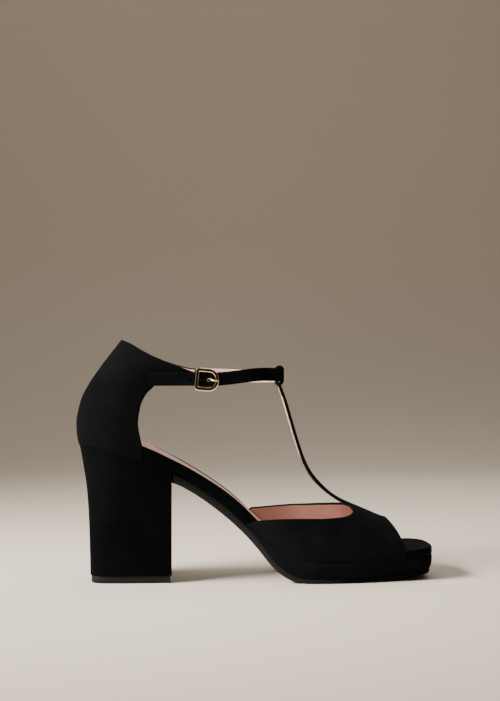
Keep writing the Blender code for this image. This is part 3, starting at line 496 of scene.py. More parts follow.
def coverAt(x, y):
    # step of the insole's edge under the counter and under the vamp
    rear = sole["wingRear"]["lateral" if y < 0 else "medial"]
    ramp = sole["coverRamp"]
    shift = sole["coverShift"]
    counterShare = clamp((sole["counterFront"] - shift - x) / ramp)
    vampShare = clamp(min(x - rear - shift, sole["toeSide"] - shift - x) / ramp + 1)
    return max(sole["counterCover"] * counterShare, sole["vampCover"] * vampShare)


def outlineLoop(stations, widths):
    flat = lastForm["endFlat"]
    lateral = [(x, -max(widths(x)[0], flat)) for x in stations]
    medial = [(x, max(widths(x)[1], flat)) for x in stations]
    return np.array(lateral + medial[::-1])


def insetLine(loop, inset, height):
    # the outline moved square to itself, as a left and a right line
    turn = np.roll(loop, -1, axis=0) - np.roll(loop, 1, axis=0)
    inward = np.stack([-turn[:, 1], turn[:, 0]], axis=1)
    inward /= np.linalg.norm(inward, axis=1)[:, None]
    moved = loop + inward * np.array([inset(x, y) for x, y in loop])[:, None]
    points = [Vector((x, y, height(x))) for x, y in moved]
    half = len(points) // 2
    return points[:half], points[half:][::-1]


def lipAt(x):
    # the wrapped edge stands up a little beside the sock in the waist
    return sole["lip"] * float(np.interp(x, *zip(*sole["lipRows"])))


def layerLevels(stations, widths, low, high, edge, base):
    loop = outlineLoop(stations, widths)
    return [
        insetLine(
            loop,
            lambda x, y: base(x, y) + inset,
            lambda x: mix(low(x), high(x), share) + sum(lip) * lipAt(x),
        )
        for share, inset, *lip in edge
    ]


def makeSole():
    def plain(x, y):
        return 0.0

    def platformTop(x):
        # the groove under the vamp closes towards the toe
        closing = shareOf(x, sole["mergeFrom"], sole["mergeFull"])
        opening = clamp((sole["toeSide"] - x) / sole["coverRamp"])
        return coreAt(x) - seam + sole["merge"] * min(closing, opening)

    def sockWidths(x):
        front = roundedEnd(x, sole["sockFront"] - sole["sockRound"], sole["sockFront"], lastForm["heelPower"])
        return tuple(width * front for width in outlineWidths(x))

    heelEnd, toeEnd, count = lastForm["heelEnd"], lastForm["toeEnd"], sole["stations"]
    layers = {
        "outsole": ("outsole", "soleSheet", layerLevels(
            bothEnds(sole["breast"] + seam, toeEnd, count), outlineWidths, groundAt, treadAt,
            sole["outsoleEdge"], plain)),
        "platformCover": ("platform", "suede", layerLevels(
            bothEnds(sole["platformStart"], toeEnd, count), outlineWidths,
            lambda x: treadAt(x) + seam, platformTop, sole["platformEdge"], plain)),
        "insoleWrap": ("insole", "wrapped", layerLevels(
            bothEnds(heelEnd, toeEnd, count), outlineWidths, coreAt, insoleTopAt,
            sole["insoleEdge"], coverAt)),
        "sockLeather": ("sock", "pinkLeather", layerLevels(
            bothEnds(heelEnd, sole["sockFront"] - sole["sockBlunt"], count), sockWidths,
            lambda x: insoleTopAt(x) + seam, lambda x: insoleTopAt(x) + sole["sockRise"],
            sole["sockEdge"], coverAt)),
    }
    for name, (node, finish, levels) in layers.items():
        body = stack(levels, sole["rungs"])
        if node == "outsole":
            # the edge's polish fades ahead of the ball
            polish = body.verts.layers.float.new("polish")
            polished, matt = sole["polish"]
            for v in body.verts:
                v[polish] = shareOf(v.co.x, matt, polished)
        piece = addPiece(name, body, [looks[finish]])
        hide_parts(node)


makeSole()
print("sole made")


# block heel and its lift
heel = {
    "breast": -52.8, "lift": 5.0, "bevel": 0.4, "stations": 44, "levels": 26, "rungs": 20,
    "sections": [
        (0.0, -105.1, 25.4, 7.0, 0.0), (0.35, -105.9, 25.5, 6.0, 0.08), (0.65, -107.6, 25.8, 4.6, 0.32),
        (0.85, -110.2, 26.4, 3.6, 0.68), (0.95, -111.7, 26.9, 3.0, 0.91), (1.0, -112.6, 27.2, 2.6, 1.0),
    ],
    "seatEdge": [(0.2, 0.12), (0.32, 0.5)],
    "liftEdge": [(0.0, 1.2), (0.04, 0.9), (0.1, 0.7), (0.92, 0.7), (1.0, 0.9)],
}
heelBackAt, heelHalfAt, heelPowerAt, heelSeatAt = (
    tableCurve(heel["sections"], place) for place in (1, 2, 3, 4))


def heelOutline(share):
    back = heelBackAt(share)

    def widths(x):
        block = heelHalfAt(share) * roundedEnd(x, heel["breast"], back, heelPowerAt(share))
        seat = roundedEnd(x, lastForm["heelRound"] + back - lastForm["heelEnd"], back, lastForm["heelPower"])
        return tuple(mix(block, widthAt(x) * seat, heelSeatAt(share)) for widthAt in (lateralAt, medialAt))

    return outlineLoop(oneEnd(back, heel["breast"], heel["stations"]), widths)


def makeHeel():
    levels = []
    for i in range(heel["levels"] + 1):
        share = i / heel["levels"]
        levels.append(insetLine(
            heelOutline(share), lambda x, y: 0.0,
            lambda x: mix(heel["lift"] + seam, coreAt(x) - seam, share)))
    seat = heelOutline(1.0)
    for inset, rise in heel["seatEdge"]:
        levels.append(insetLine(seat, lambda x, y: inset, lambda x: coreAt(x) + rise))
    block = addPiece("heelCover", stack(levels, heel["rungs"]), [looks["suedeHeel"]])
    addBevel(block, heel["bevel"])
    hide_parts("heel_block")

    floorLine = heelOutline(0.0)
    levels = [
        insetLine(floorLine, lambda x, y: inset, lambda x: heel["lift"] * share)
        for share, inset in heel["liftEdge"]
    ]
    lift = addPiece("heelLift", stack(levels, heel["rungs"]), [looks["liftRubber"]])
    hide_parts("top_lift")


makeHeel()
print("heel made")


upper = {"sharpAngle": 60, "bevel": 0.3, "liningGap": 0.01}


def markRim(bm, clear):
    # each corner's distance from the nearest open edge, raised by clear where the edge is bare lining
    layer = bm.verts.layers.float.new("rim")
    bm.verts.index_update()
    border = [v for v in bm.verts if v.is_boundary]
    tree = kdtree.KDTree(len(border))
    for number, v in enumerate(border):
        tree.insert(v.co, number)
    tree.balance()
    for v in bm.verts:
        near = border[tree.find(v.co)[1]]
        reach = (v.co - near.co).length
        for edge in near.link_edges:
            if edge.is_boundary:
                foot, share = geometry.intersect_point_line(v.co, edge.verts[0].co, edge.verts[1].co)
                if 0 <= share <= 1:
                    reach = min(reach, (v.co - foot).length)
        v[layer] = max(reach, clear(v.co.z))


def addUpper(name, node, bm, walls, bulkAt, linedTo, finish, clear):
    # suede outside and leather lining inside up to a height; bulkAt thickens the suede
    lining = bm.copy()
    bare = [face for face in lining.faces if face.calc_center_median().z > linedTo]
    bmesh.ops.delete(lining, geom=bare, context="FACES")
    markRim(lining, clear)
    suede = addPiece(name + "Suede", bm, [looks[finish], looks["edgePaint"]], upper["sharpAngle"])
    inner = addPiece(name + "Lining", lining, [looks["pinkLining"]], upper["sharpAngle"])
    for piece in (suede, inner):
        bulk = [bulkAt(v.co / mm + middle) for v in piece.data.vertices]
        thickest = max(bulk)
        group = piece.vertex_groups.new(name="bulk")
        for number, value in enumerate(bulk):
            group.add([number], value / thickest, "REPLACE")
        if piece is suede:
            addSolidify(piece, walls[0] * thickest, "bulk").material_offset_rim = 1
            addBevel(piece, upper["bevel"])
            continue
        sink = piece.modifiers.new("sink", "DISPLACE")
        sink.strength = -(walls[0] * thickest + upper["liningGap"]) * mm
        sink.mid_level = 0.0
        sink.vertex_group = "bulk"
        addSolidify(piece, walls[1], even=False)
    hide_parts(node)


# vamp with its T-bar and loop
vamp = {
    "walls": (1.1, 0.42), "splits": 10, "rows": 26, "barSplits": 12,
    "barBulk": 1.65, "loopBulk": 1.4, "bulkStart": (51.0, 62.0), "bulkStop": (112.0, 126.0), "linedTo": 126.4,
    "bareFrom": 58.0, "bareFull": 84.0, "bareStop": 119.0,
    "creases": [
        (66.5, 0.41, 77.0, 0.33, 2.6, -0.32), (69.5, 0.34, 80.0, 0.27, 2.8, -0.24),
        (34.0, 0.16, 56.0, 0.2, 3.2, -0.22), (48.0, 0.27, 63.0, 0.3, 3.0, -0.16),
        (66.5, 0.59, 77.0, 0.67, 2.6, -0.3), (36.0, 0.82, 58.0, 0.79, 3.2, -0.2),
    ],
    "creaseGirth": 100.0, "creaseEnds": 0.4, "creaseSwell": 2.4,
    "pucker": 0.16, "puckerReach": 0.16, "puckerShift": 1.2,
    "puckerWaves": [(1.0, 0.83, 0.0), (0.6, 1.57, 1.0), (0.45, 2.7, 2.0)],
    "edgeBand": 0.001, "tuck": 0.55, "tuckStart": 60.0, "tuckFull": 72.0,
    "wings": [
        (1.2, 39.4, 43.4, 0.00), (16.0, 41.0, 43.8, 0.18), (31.0, 41.5, 44.3, 0.39),
        (47.0, 41.2, 45.1, 0.62), (56.9, 41.4, 45.9, 0.83), (63.4, 42.8, 46.6, 1.00),
    ],
    "throat": [(66.0, 0.365, 0.395, 1.30), (64.6, 0.412, 0.414, 1.60), (60.0, 0.430, 0.433, 1.86)],
    "toeTop": 89.5, "toeEdgePower": 2.5,
    "barBase": 60.0, "barHalf": 4.0, "barBaseHalf": 8.0, "barBaseDrop": 0.85, "barFlare": 0.25,
    "barSag": 0.43, "barSteps": 60,
    "loopX": 18.85, "loopZ": 132.6, "loopDepth": 2.65, "loopRise": 3.8, "loopTurns": 14,
    "loopFront": [(-0.9, 5.6), (-0.5, 4.9), (-0.2, 4.3), (0.0, 2.5), (0.0, 0.0)],
    "loopBack": [(0.0, 0.0), (0.0, 2.0), (0.0, 3.9), (0.1, 5.0), (0.3, 6.2)],
}


def lastPoint(x, girth):
    lateral, medial = outlineWidths(x)
    low = coreAt(x)
    turn = math.pi * girth
    y = (medial - lateral) / 2 - (medial + lateral) / 2 * math.cos(turn)
    return Vector((x, y, low + (ridgeAt(x) - low) * math.sin(turn)))


def lowerEdge(edge, rear):
    if edge <= 1:
        return mix(rear, sole["toeSide"], edge), 0.0
    girth = (edge - 1) / 2
    reach = (sole["toeSide"] - vamp["toeTop"]) * math.sin(math.pi * girth) ** vamp["toeEdgePower"]
    return sole["toeSide"] - reach, girth


def girthAt(x, z):
    low = coreAt(x)
    return math.asin(min((z - low) / (ridgeAt(x) - low), 1.0)) / math.pi


def vampColumns(side):
    place = 1 if side == "lateral" else 2
    wings, throat = vamp["wings"], vamp["throat"]
    last = len(wings) - 1
    numbers = range(len(wings) + len(throat))
    xAt = smoothCurve(numbers, [row[0] for row in wings + throat])
    edgeAt = smoothCurve(numbers, [row[-1] for row in wings + throat])
    zAt = smoothCurve(numbers[:last + 1], [row[place] for row in wings])
    girths = [girthAt(wings[last][0], wings[last][place])] + [row[place] for row in throat]
    throatAt = smoothCurve(numbers[last:], girths)
    columns = []
    for i in range(numbers[-1] * vamp["splits"] + 1):
        spot = i / vamp["splits"]
        x = xAt(spot)
        girth = girthAt(x, zAt(spot)) if spot <= last else throatAt(spot)
        columns.append((lowerEdge(edgeAt(spot), sole["wingRear"][side]), (x, girth)))
    return columns


def barPath():
    rows = [row for row in lastForm["ridge"] if row[0] < vamp["barBase"]][::-1]
    line = np.array([(vamp["barBase"], ridgeAt(vamp["barBase"]))] + rows)
    run = np.concatenate([[0.0], np.cumsum(np.linalg.norm(np.diff(line, axis=0), axis=1))])
    xAt, zAt = smoothCurve(run, line[:, 0]), smoothCurve(run, line[:, 1])
    shares = [run[-1] * (i + 1) / vamp["barSteps"] for i in range(vamp["barSteps"])]
    return [(xAt(share), zAt(share)) for share in shares]


def loopPath():
    x, z, depth = vamp["loopX"], vamp["loopZ"], vamp["loopDepth"]
    path = [(x + depth + forward, z - drop) for forward, drop in vamp["loopFront"]]
    for i in range(vamp["loopTurns"] + 1):
        turn = math.pi * i / vamp["loopTurns"]
        path.append((x + depth * math.cos(turn), z + vamp["loopRise"] + depth * math.sin(turn)))
    return path + [(x - depth + forward, z - drop) for forward, drop in vamp["loopBack"]]


def vampBulk(place):
    # the T-bar is doubled leather
    bar = mix(1.0, vamp["barBulk"], shareOf(place.z, *vamp["bulkStart"]))
    return mix(bar, vamp["loopBulk"], shareOf(place.z, *vamp["bulkStop"]))


def bareLining(z):
    # the lining's edge is bare behind the upper half of the T-bar
    if z > vamp["bareStop"]:
        return 0.0
    return shareOf(z, vamp["bareFrom"], vamp["bareFull"])


def puckerAt(x, across):
    # small folds where the suede is pulled over the feather line
    wave = sum(size * math.sin(rate * x + phase) for size, rate, phase in vamp["puckerWaves"])
    return vamp["pucker"] * (wave - vamp["puckerShift"]) * clamp(1 - across / vamp["puckerReach"]) ** 2


def creaseAt(x, girth):
    # soft folds, each a line from one place to another with a width and a depth
    scale = vamp["creaseGirth"]
    spot = Vector((x, girth * scale, 0))
    total = 0.0
    for startX, startGirth, endX, endGirth, wide, deep in vamp["creases"]:
        start, end = Vector((startX, startGirth * scale, 0)), Vector((endX, endGirth * scale, 0))
        share = clamp(geometry.intersect_point_line(spot, start, end)[1])
        distance = (spot - start.lerp(end, share)).length / wide
        swell = vamp["creaseEnds"] + vamp["creaseSwell"] * share * (1 - share)
        total += deep * (1 - distance * distance) * math.exp(-distance * distance) * swell
    return total


def makeVamp():
    half = vampColumns("lateral")
    other = [((lx, 1 - lg), (hx, 1 - hg)) for (lx, lg), (hx, hg) in reversed(vampColumns("medial"))]
    splits = vamp["barSplits"]
    inner = []
    for i in range(1, splits):
        lowGirth = mix(half[-1][0][1], other[0][0][1], i / splits)
        lowX = lowerEdge(1 + 2 * min(lowGirth, 1 - lowGirth), 0.0)[0]
        inner.append(((lowX, lowGirth), (vamp["barBase"], mix(half[-1][1][1], other[0][1][1], i / splits))))
    columns = half + inner + other

    bm, along, across = paramGrid(len(columns) - 1, vamp["rows"])
    top = {}
    for v in bm.verts:
        i = round(v[along] * (len(columns) - 1))
        low, high = columns[i]
        x, girth = mix(low[0], high[0], v[across]), mix(low[1], high[1], v[across])
        turn = math.pi * girth
        v.co = lastPoint(x, girth) + Vector((0, -math.cos(turn), math.sin(turn))) * creaseAt(x, girth)
        v.co.y += puckerAt(v.co.x, v[across]) * (-1 if v[along] < 0.5 else 1)
        if v[across] < vamp["edgeBand"]:
            tuck = vamp["tuck"] * shareOf(v.co.x, vamp["tuckStart"], vamp["tuckFull"])
            v.co.z -= tuck * (low[1] in (0.0, 1.0))
        if v[across] > 1 - vamp["edgeBand"]:
            top[i] = v
    chain = [top[len(half) - 1 + i] for i in range(splits + 1)]
    baseY = sum(v.co.y for v in chain) / len(chain)
    path = barPath()
    rows = []
    for number, (x, z) in enumerate(path + loopPath(), 1):
        rise = min(number / len(path), 1.0)
        reach = mix(vamp["barHalf"], vamp["barBaseHalf"], (1 - min(rise / vamp["barFlare"], 1.0)) ** 2)
        drop = vamp["barBaseDrop"] * (reach / vamp["barBaseHalf"]) ** 2
        row = []
        for i in range(splits + 1):
            side = 2 * i / splits - 1
            curl = side * side
            y = mix(baseY, 0, rise) + side * reach
            row.append(Vector((x - vamp["barSag"] * curl, y, z - drop * curl)))
        rows.append(row)
    extrudeChain(bm, chain, rows)
    addUpper("vamp", "vamp", bm, vamp["walls"], vampBulk, vamp["linedTo"], "suede", bareLining)


makeVamp()
print("vamp made")


# counter with its ears, the outer one folded round the buckle's bar
counter = {
    "walls": (0.9, 0.4), "spreads": 40, "rowsBelow": 40, "rowsInEar": 12, "earColumns": 30,
    "earHalf": 27.0, "earLow": 127.0, "medialEarEnd": -36.0,
    "peak": (-86.5, 156.0),
    "sections": [
        (78, -111.5, 27.0, 35), (87, -112.9, 27.3, 36), (94, -114.4, 27.8, 37), (102, -114.8, 28.0, 38),
        (110, -113.5, 27.9, 38), (118, -111.3, 27.5, 38), (127, -106.6, 27.0, 36), (136, -100.6, 27.0, 35),
        (144, -94.7, 25.4, 34), (151, -89.2, 22.6, 33), (158, -83.8, 19.5, 32),
    ],
    "front": [
        (78.7, -71.0), (87.7, -71.7), (93.2, -72.9), (102.2, -74.2), (113.1, -72.7), (120.9, -69.1),
        (127.0, -63.5), (135.0, -61.8), (143.4, -60.2),
    ],
    "topline": [
        (-86.5, 156.0, 156.0), (-78.6, 153.4, 153.4), (-70.4, 149.1, 149.1), (-60.2, 143.4, 143.4),
        (-51.6, 139.8, 140.3), (-44.7, 137.2, 138.4), (-37.8, 135.0, 137.0), (-29.8, 135.0, 137.0),
    ],
    "trim": 2.4, "trimTop": 122.0, "trimReach": 12.0,
    "foldReturn": 7.0, "foldTurns": 14, "foldClose": 0.75, "slotHalf": 1.7, "slotReach": 1.6,
    "settle": 4,
}
buckle = {
    "x": -30.4, "z": 129.9, "tilt": math.radians(-5.0), "back": -6.5, "tip": 6.5, "half": 6.1, "turn": 0.4,
    "corner": 1.2, "fullness": 0.85, "tipSteps": 48, "cornerSteps": 8,
    "wire": 0.9, "wide": 2.5, "deep": 1.4, "soft": 0.62, "flatness": 0.985, "sharpAngle": 40,
    "barX": -33.0, "barRadius": 0.75, "legBend": 1.0, "legRound": 0.3,
    "prong": 0.62, "prongLift": 0.3, "pinSteps": 30, "eye": 0.42, "eyeSteps": 24, "eyeSides": 8,
    "pin": [
        (0.0, 0.0, 0.04, 0.9), (0.15, 0.16, 0.25, 1.0), (0.33, 0.36, 0.58, 1.0), (0.53, 0.58, 0.86, 1.0),
        (0.73, 0.8, 1.0, 0.95), (0.95, 1.05, 1.0, 0.85), (0.985, 1.1, 0.99, 0.6), (1.0, 1.12, 0.98, 0.2),
    ],
}
counterBackAt, counterHalfAt, counterDepthAt = (
    tableCurve(counter["sections"], place) for place in (1, 2, 3))
counterFrontAt = tableCurve(counter["front"], 1)
toplineAt = {"lateral": tableCurve(counter["topline"], 1), "medial": tableCurve(counter["topline"], 2)}


def counterPoint(x, z, sign):
    share = clamp((x - counterBackAt(z)) / counterDepthAt(z))
    power = lastForm["heelPower"]
    return Vector((x, sign * counterHalfAt(z) * (1 - (1 - share) ** power) ** (1 / power), z))


def counterRows():
    low, high = counter["front"][0][0], counter["front"][-1][0]
    ear = (counter["earLow"] - low) / (high - low)
    below = [ear * i / counter["rowsBelow"] for i in range(counter["rowsBelow"])]
    return below + [mix(ear, 1, i / counter["rowsInEar"]) for i in range(counter["rowsInEar"] + 1)]


def counterColumn(side, shares, spread):
    fan = 1 - math.cos(spread * math.pi / 2)
    (lowZ, lowX), (highZ, highX) = counter["front"][0], counter["front"][-1]
    trim = counter["trim"] if side == "medial" else 0.0
    low = coreAt(mix(lastForm["heelEnd"], lowX - trim, fan))
    for _ in range(counter["settle"]):
        low = coreAt(mix(counterBackAt(low), lowX - trim, fan))
    high = toplineAt[side](mix(counter["peak"][0], highX, fan))
    column = []
    for share in shares:
        z = mix(low, high, share)
        front = counterFrontAt(mix(lowZ, highZ, share))
        front -= trim * clamp((counter["trimTop"] - z) / counter["trimReach"])
        x = mix(counterBackAt(z), front, fan)
        column.append(counterPoint(x, z, -1 if side == "lateral" else 1))
    return column


def earColumns(side, end, shares):
    lowZ, highZ = counter["front"][0][0], counter["front"][-1][0]
    columns = []
    for i in range(1, counter["earColumns"] + 1):
        column = []
        for share in shares:
            x = mix(counterFrontAt(mix(lowZ, highZ, share)), end, i / counter["earColumns"])
            z = mix(counter["earLow"], toplineAt[side](x), (share - shares[0]) / (1 - shares[0]))
            column.append(counterPoint(x, z, -1 if side == "lateral" else 1))
        columns.append(column)
    return columns


def foldColumns(heights):
    wall = sum(counter["walls"])
    radius = buckle["barRadius"] + gap + wall
    centre = counter["earHalf"] - radius
    profile = []
    for i in range(1, counter["foldTurns"] + 1):
        turn = math.pi * i / counter["foldTurns"]
        profile.append((buckle["barX"] + radius * math.sin(turn), centre + radius * math.cos(turn)))
    inside = counter["earHalf"] - 2 * wall - gap
    closing = mix(centre - radius, inside, counter["foldClose"])
    profile.append((buckle["barX"] - counter["foldReturn"] / 2, closing))
    profile.append((buckle["barX"] - counter["foldReturn"], inside))
    lean = math.tan(buckle["tilt"])
    return [[Vector((x + (buckle["z"] - z) * lean, -half, z)) for z in heights] for x, half in profile]


def makeCounter():
    shares = counterRows()
    spreads = counter["spreads"]
    columns = [counterColumn("medial", shares, i / spreads) for i in range(spreads, 0, -1)]
    columns += [counterColumn("lateral", shares, i / spreads) for i in range(spreads + 1)]
    bm, along, across = paramGrid(len(columns) - 1, len(shares) - 1)
    grid = {}
    for v in bm.verts:
        i, j = round(v[along] * (len(columns) - 1)), round(v[across] * (len(shares) - 1))
        v.co = columns[i][j]
        grid[i, j] = v
    ear = range(counter["rowsBelow"], len(shares))
    earShares = shares[counter["rowsBelow"]:]
    medialEar = [grid[0, j] for j in ear]
    lateralEar = [grid[len(columns) - 1, j] for j in ear]
    extrudeChain(bm, medialEar, earColumns("medial", counter["medialEarEnd"], earShares))
    chain = extrudeChain(bm, lateralEar, earColumns("lateral", buckle["barX"], earShares))
    extrudeChain(bm, chain, foldColumns([v.co.z for v in chain]))
    slot = []
    for face in bm.faces:
        spot = face.calc_center_median()
        folded = spot.y < 0 and spot.x > buckle["barX"] - counter["slotReach"]
        if folded and abs(spot.z - buckle["z"]) < counter["slotHalf"]:
            slot.append(face)
    bmesh.ops.delete(bm, geom=slot, context="FACES")
    addUpper("counter", "counter", bm, counter["walls"], lambda place: 1.0, counter["peak"][1], "suedeBack",
             lambda z: 0.0)


makeCounter()
print("counter made")


# ankle strap
strap = {
    "width": 8.6, "thickness": 1.6, "bendX": -26.0, "slope": 0.04, "offset": 0.6, "level": 10.0,
    "tailEnd": -69.0, "medialEnd": -59.0, "tailRound": 4.0, "tailBlunt": 0.2, "turns": 90,
    "bump": 0.35, "bumpX": -32.4, "bumpReach": 1.3, "fill": 0.85, "fillReach": 4.6,
    "loopFill": 0.6, "loopFillReach": 4.6,
    "soft": 0.35, "cornerSteps": 3, "faceSteps": 6, "innerInset": 0.1, "sharpAngle": 50,
    "tailSteps": 12, "runSteps": 61, "medialSteps": 16,
    "stitchPitch": 2.3, "stitchEdge": 1.15, "stitchSize": (0.78, 0.17, 0.14),
    "stitchLeast": 1.0, "loopClear": 3.0, "buckleClear": 8.0,
    "holes": [(-28.9, 2.0, 1.0), (-35.2, 0.9, 0.9), (-41.2, 0.9, 0.9)],
}


def strapHalf():
    return counter["earHalf"] + gap + strap["thickness"] / 2


def strapPath():
    half = strapHalf()
    reach = vamp["loopX"] - strap["bendX"]
    path = []
    for i in range(strap["tailSteps"]):
        turn = math.pi * i / (2 * strap["tailSteps"])
        path.append((strap["tailEnd"] + strap["tailRound"] * (1 - math.cos(turn)), -half))
    tailStop = strap["tailEnd"] + strap["tailRound"]
    for i in range(strap["runSteps"]):
        path.append((mix(tailStop, strap["bendX"], i / strap["runSteps"]), -half))
    for i in range(strap["turns"] + 1):
        turn = math.pi * (i / strap["turns"] - 0.5)
        path.append((strap["bendX"] + reach * math.cos(turn), half * math.sin(turn)))
    for i in range(1, strap["medialSteps"] + 1):
        path.append((mix(strap["bendX"], strap["medialEnd"], i / strap["medialSteps"]), half))
    return path


def strapHeight(x, y):
    beside = buckle["z"] + strap["offset"] if y < 0 else vamp["loopZ"]
    share = clamp((x - strap["bendX"]) / (vamp["loopX"] - strap["bendX"] - strap["level"]))
    return mix(beside, vamp["loopZ"] - strap["slope"] * y, share * share * (3 - 2 * share))


def strapSection(halfWide):
    # outside face from the lower to the upper edge, then the inside face back down
    thick = strap["thickness"] / 2
    soft = min(strap["soft"], halfWide / 3)
    steps, inset = strap["faceSteps"], strap["innerInset"]
    turns = [math.pi / 2 * i / strap["cornerSteps"] for i in range(strap["cornerSteps"] + 1)]
    corner = [(thick - soft + soft * math.cos(t), halfWide - soft + soft * math.sin(t)) for t in turns]
    section = [(out, -up) for out, up in reversed(corner)]
    section += [(thick, mix(soft - halfWide, halfWide - soft, i / steps)) for i in range(1, steps)]
    section += corner
    section += [(-thick, mix(halfWide - inset, inset - halfWide, i / steps)) for i in range(steps + 1)]
    return section


def strapFrames():
    path = strapPath()
    frames = []
    for i, (x, y) in enumerate(path):
        before, after = path[max(i - 1, 0)], path[min(i + 1, len(path) - 1)]
        out = Vector((after[1] - before[1], before[0] - after[0], 0)).normalized()
        fromTail = (x - strap["tailEnd"]) / strap["tailRound"] if y < 0 else 1.0
        shape = max(math.sqrt(1 - (1 - min(fromTail, 1.0)) ** 2), strap["tailBlunt"])
        centre = Vector((x, y, strapHeight(x, y)))
        if y < 0:
            centre += out * strap["bump"] * math.exp(-((x - strap["bumpX"]) / strap["bumpReach"]) ** 2)
        fill = strap["fill"] * math.exp(-((x - buckle["x"]) / strap["fillReach"]) ** 4) * (y < 0)
        fill += strap["loopFill"] * math.exp(-(y / strap["loopFillReach"]) ** 4) * (x > 0)
        frames.append((centre, out, Vector((0, 0, 1)), strapSection(strap["width"] / 2 * shape + fill)))
    return frames


def cutHoles(piece):
    # punched holes, the one in use drawn out by the prong
    cutter = bmesh.new()
    for x, longHalf, tallHalf in strap["holes"]:
        place = Matrix.Translation(Vector((x, -strapHalf(), buckle["z"])))
        size = Matrix.Diagonal((longHalf, tallHalf, 4 * strap["thickness"], 1))
        bmesh.ops.create_cone(cutter, cap_ends=True, segments=24, radius1=1, radius2=1, depth=1,
                              matrix=place @ Matrix.Rotation(math.pi / 2, 4, "X") @ size)
    for v in cutter.verts:
        v.co = (v.co - middle) * mm
    bmesh.ops.recalc_face_normals(cutter, faces=cutter.faces)
    mesh = bpy.data.meshes.new("holePunch")
    cutter.to_mesh(mesh)
    cutter.free()
    punch = linkObject("holePunch", mesh)
    cut = piece.modifiers.new("holes", "BOOLEAN")
    cut.object = punch
    cut.solver = "EXACT"
    whole = piece.data
    piece.data = bpy.data.meshes.new_from_object(piece.evaluated_get(bpy.context.evaluated_depsgraph_get()))
    piece.modifiers.clear()
    piece.data.name = whole.name
    bpy.data.objects.remove(punch)
    bpy.data.meshes.remove(mesh)
    bpy.data.meshes.remove(whole)


def makeStitches(frames):
    # one row along each edge of the outside face
    bm = bmesh.new()
    for side in (-1, 1):
        run, due = 0.0, strap["tailRound"] / 2
        for (centre, out, up, section), (after, *_) in zip(frames, frames[1:]):
            run += (after - centre).length
            wide = max(w for u, w in section) - strap["stitchEdge"]
            inLoop = abs(centre.x - vamp["loopX"]) < strap["loopClear"]
            inBuckle = abs(centre.x - buckle["x"]) < strap["buckleClear"] and centre.y < 0
            if run < due or wide < strap["stitchLeast"] or inLoop or inBuckle:
                continue
            due = run + strap["stitchPitch"]
            along = (after - centre).normalized()
            turn = Matrix((along, up, out)).transposed().to_4x4()
            place = centre + out * strap["thickness"] / 2 + up * side * wide
            size = Matrix.Diagonal((*strap["stitchSize"], 1))
            bmesh.ops.create_uvsphere(bm, u_segments=6, v_segments=4, radius=1,
                                      matrix=Matrix.Translation(place) @ turn @ size)
    addPiece("strapStitches", bm, [looks["thread"]])


def makeStrap():
    frames = strapFrames()
    bm, across = sweep(frames)
    count = len(frames[0][3])
    inside = count - strap["faceSteps"] - 1.5
    for face in bm.faces:
        if min(v[across] for v in face.verts) * count > inside:
            face.material_index = 1
    closeSweep(bm)
    band = addPiece("ankleStrap", bm, [looks["suede"], looks["pinkLeather"]], strap["sharpAngle"])
    cutHoles(band)
    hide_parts("ankle_strap")
    makeStitches(frames)


makeStrap()
print("strap made")


# buckle: flattened frame with soft edges, its bar behind the strap, and the prong
def bucklePlane():
    return strapHalf() + strap["thickness"] / 2 + gap + buckle["wire"]


def bucklePlace(along, up, depth):
    turn = buckle["tilt"]
    x = buckle["x"] + along * math.cos(turn) - up * math.sin(turn)
    z = buckle["z"] + along * math.sin(turn) + up * math.cos(turn)
    return Vector((x, depth - bucklePlane(), z))


def frameOutline():
    half, corner = buckle["half"], buckle["corner"]
    outline = []
    for i in range(buckle["tipSteps"] + 1):
        turn = math.pi * (i / buckle["tipSteps"] - 0.5)
        reach = (buckle["tip"] - buckle["turn"]) * max(math.cos(turn), 0.0) ** buckle["fullness"]
        outline.append((buckle["turn"] + reach, half * math.sin(turn)))
    turns = [math.pi / 2 * (1 + i / buckle["cornerSteps"]) for i in range(buckle["cornerSteps"] + 1)]
    bend = [(buckle["back"] + corner * (1 + math.cos(t)), half - corner * (1 - math.sin(t))) for t in turns]
    return outline + bend + [(along, -up) for along, up in reversed(bend)]


def planeFrames(places, flat, section, closed=False):
    # frames of a path that lies in a plane square to flat
    frames = []
    for i, place in enumerate(places):
        before = places[i - 1] if closed or i else place
        after = places[(i + 1) % len(places)] if closed or i + 1 < len(places) else place
        side = (after - before).normalized().cross(flat)
        frames.append((place, side, flat, section(i)))
    return frames


def roundWire(radius, count=12):
    turns = [2 * math.pi * i / count for i in range(count)]
    return [(radius * math.cos(t), radius * math.sin(t)) for t in turns]


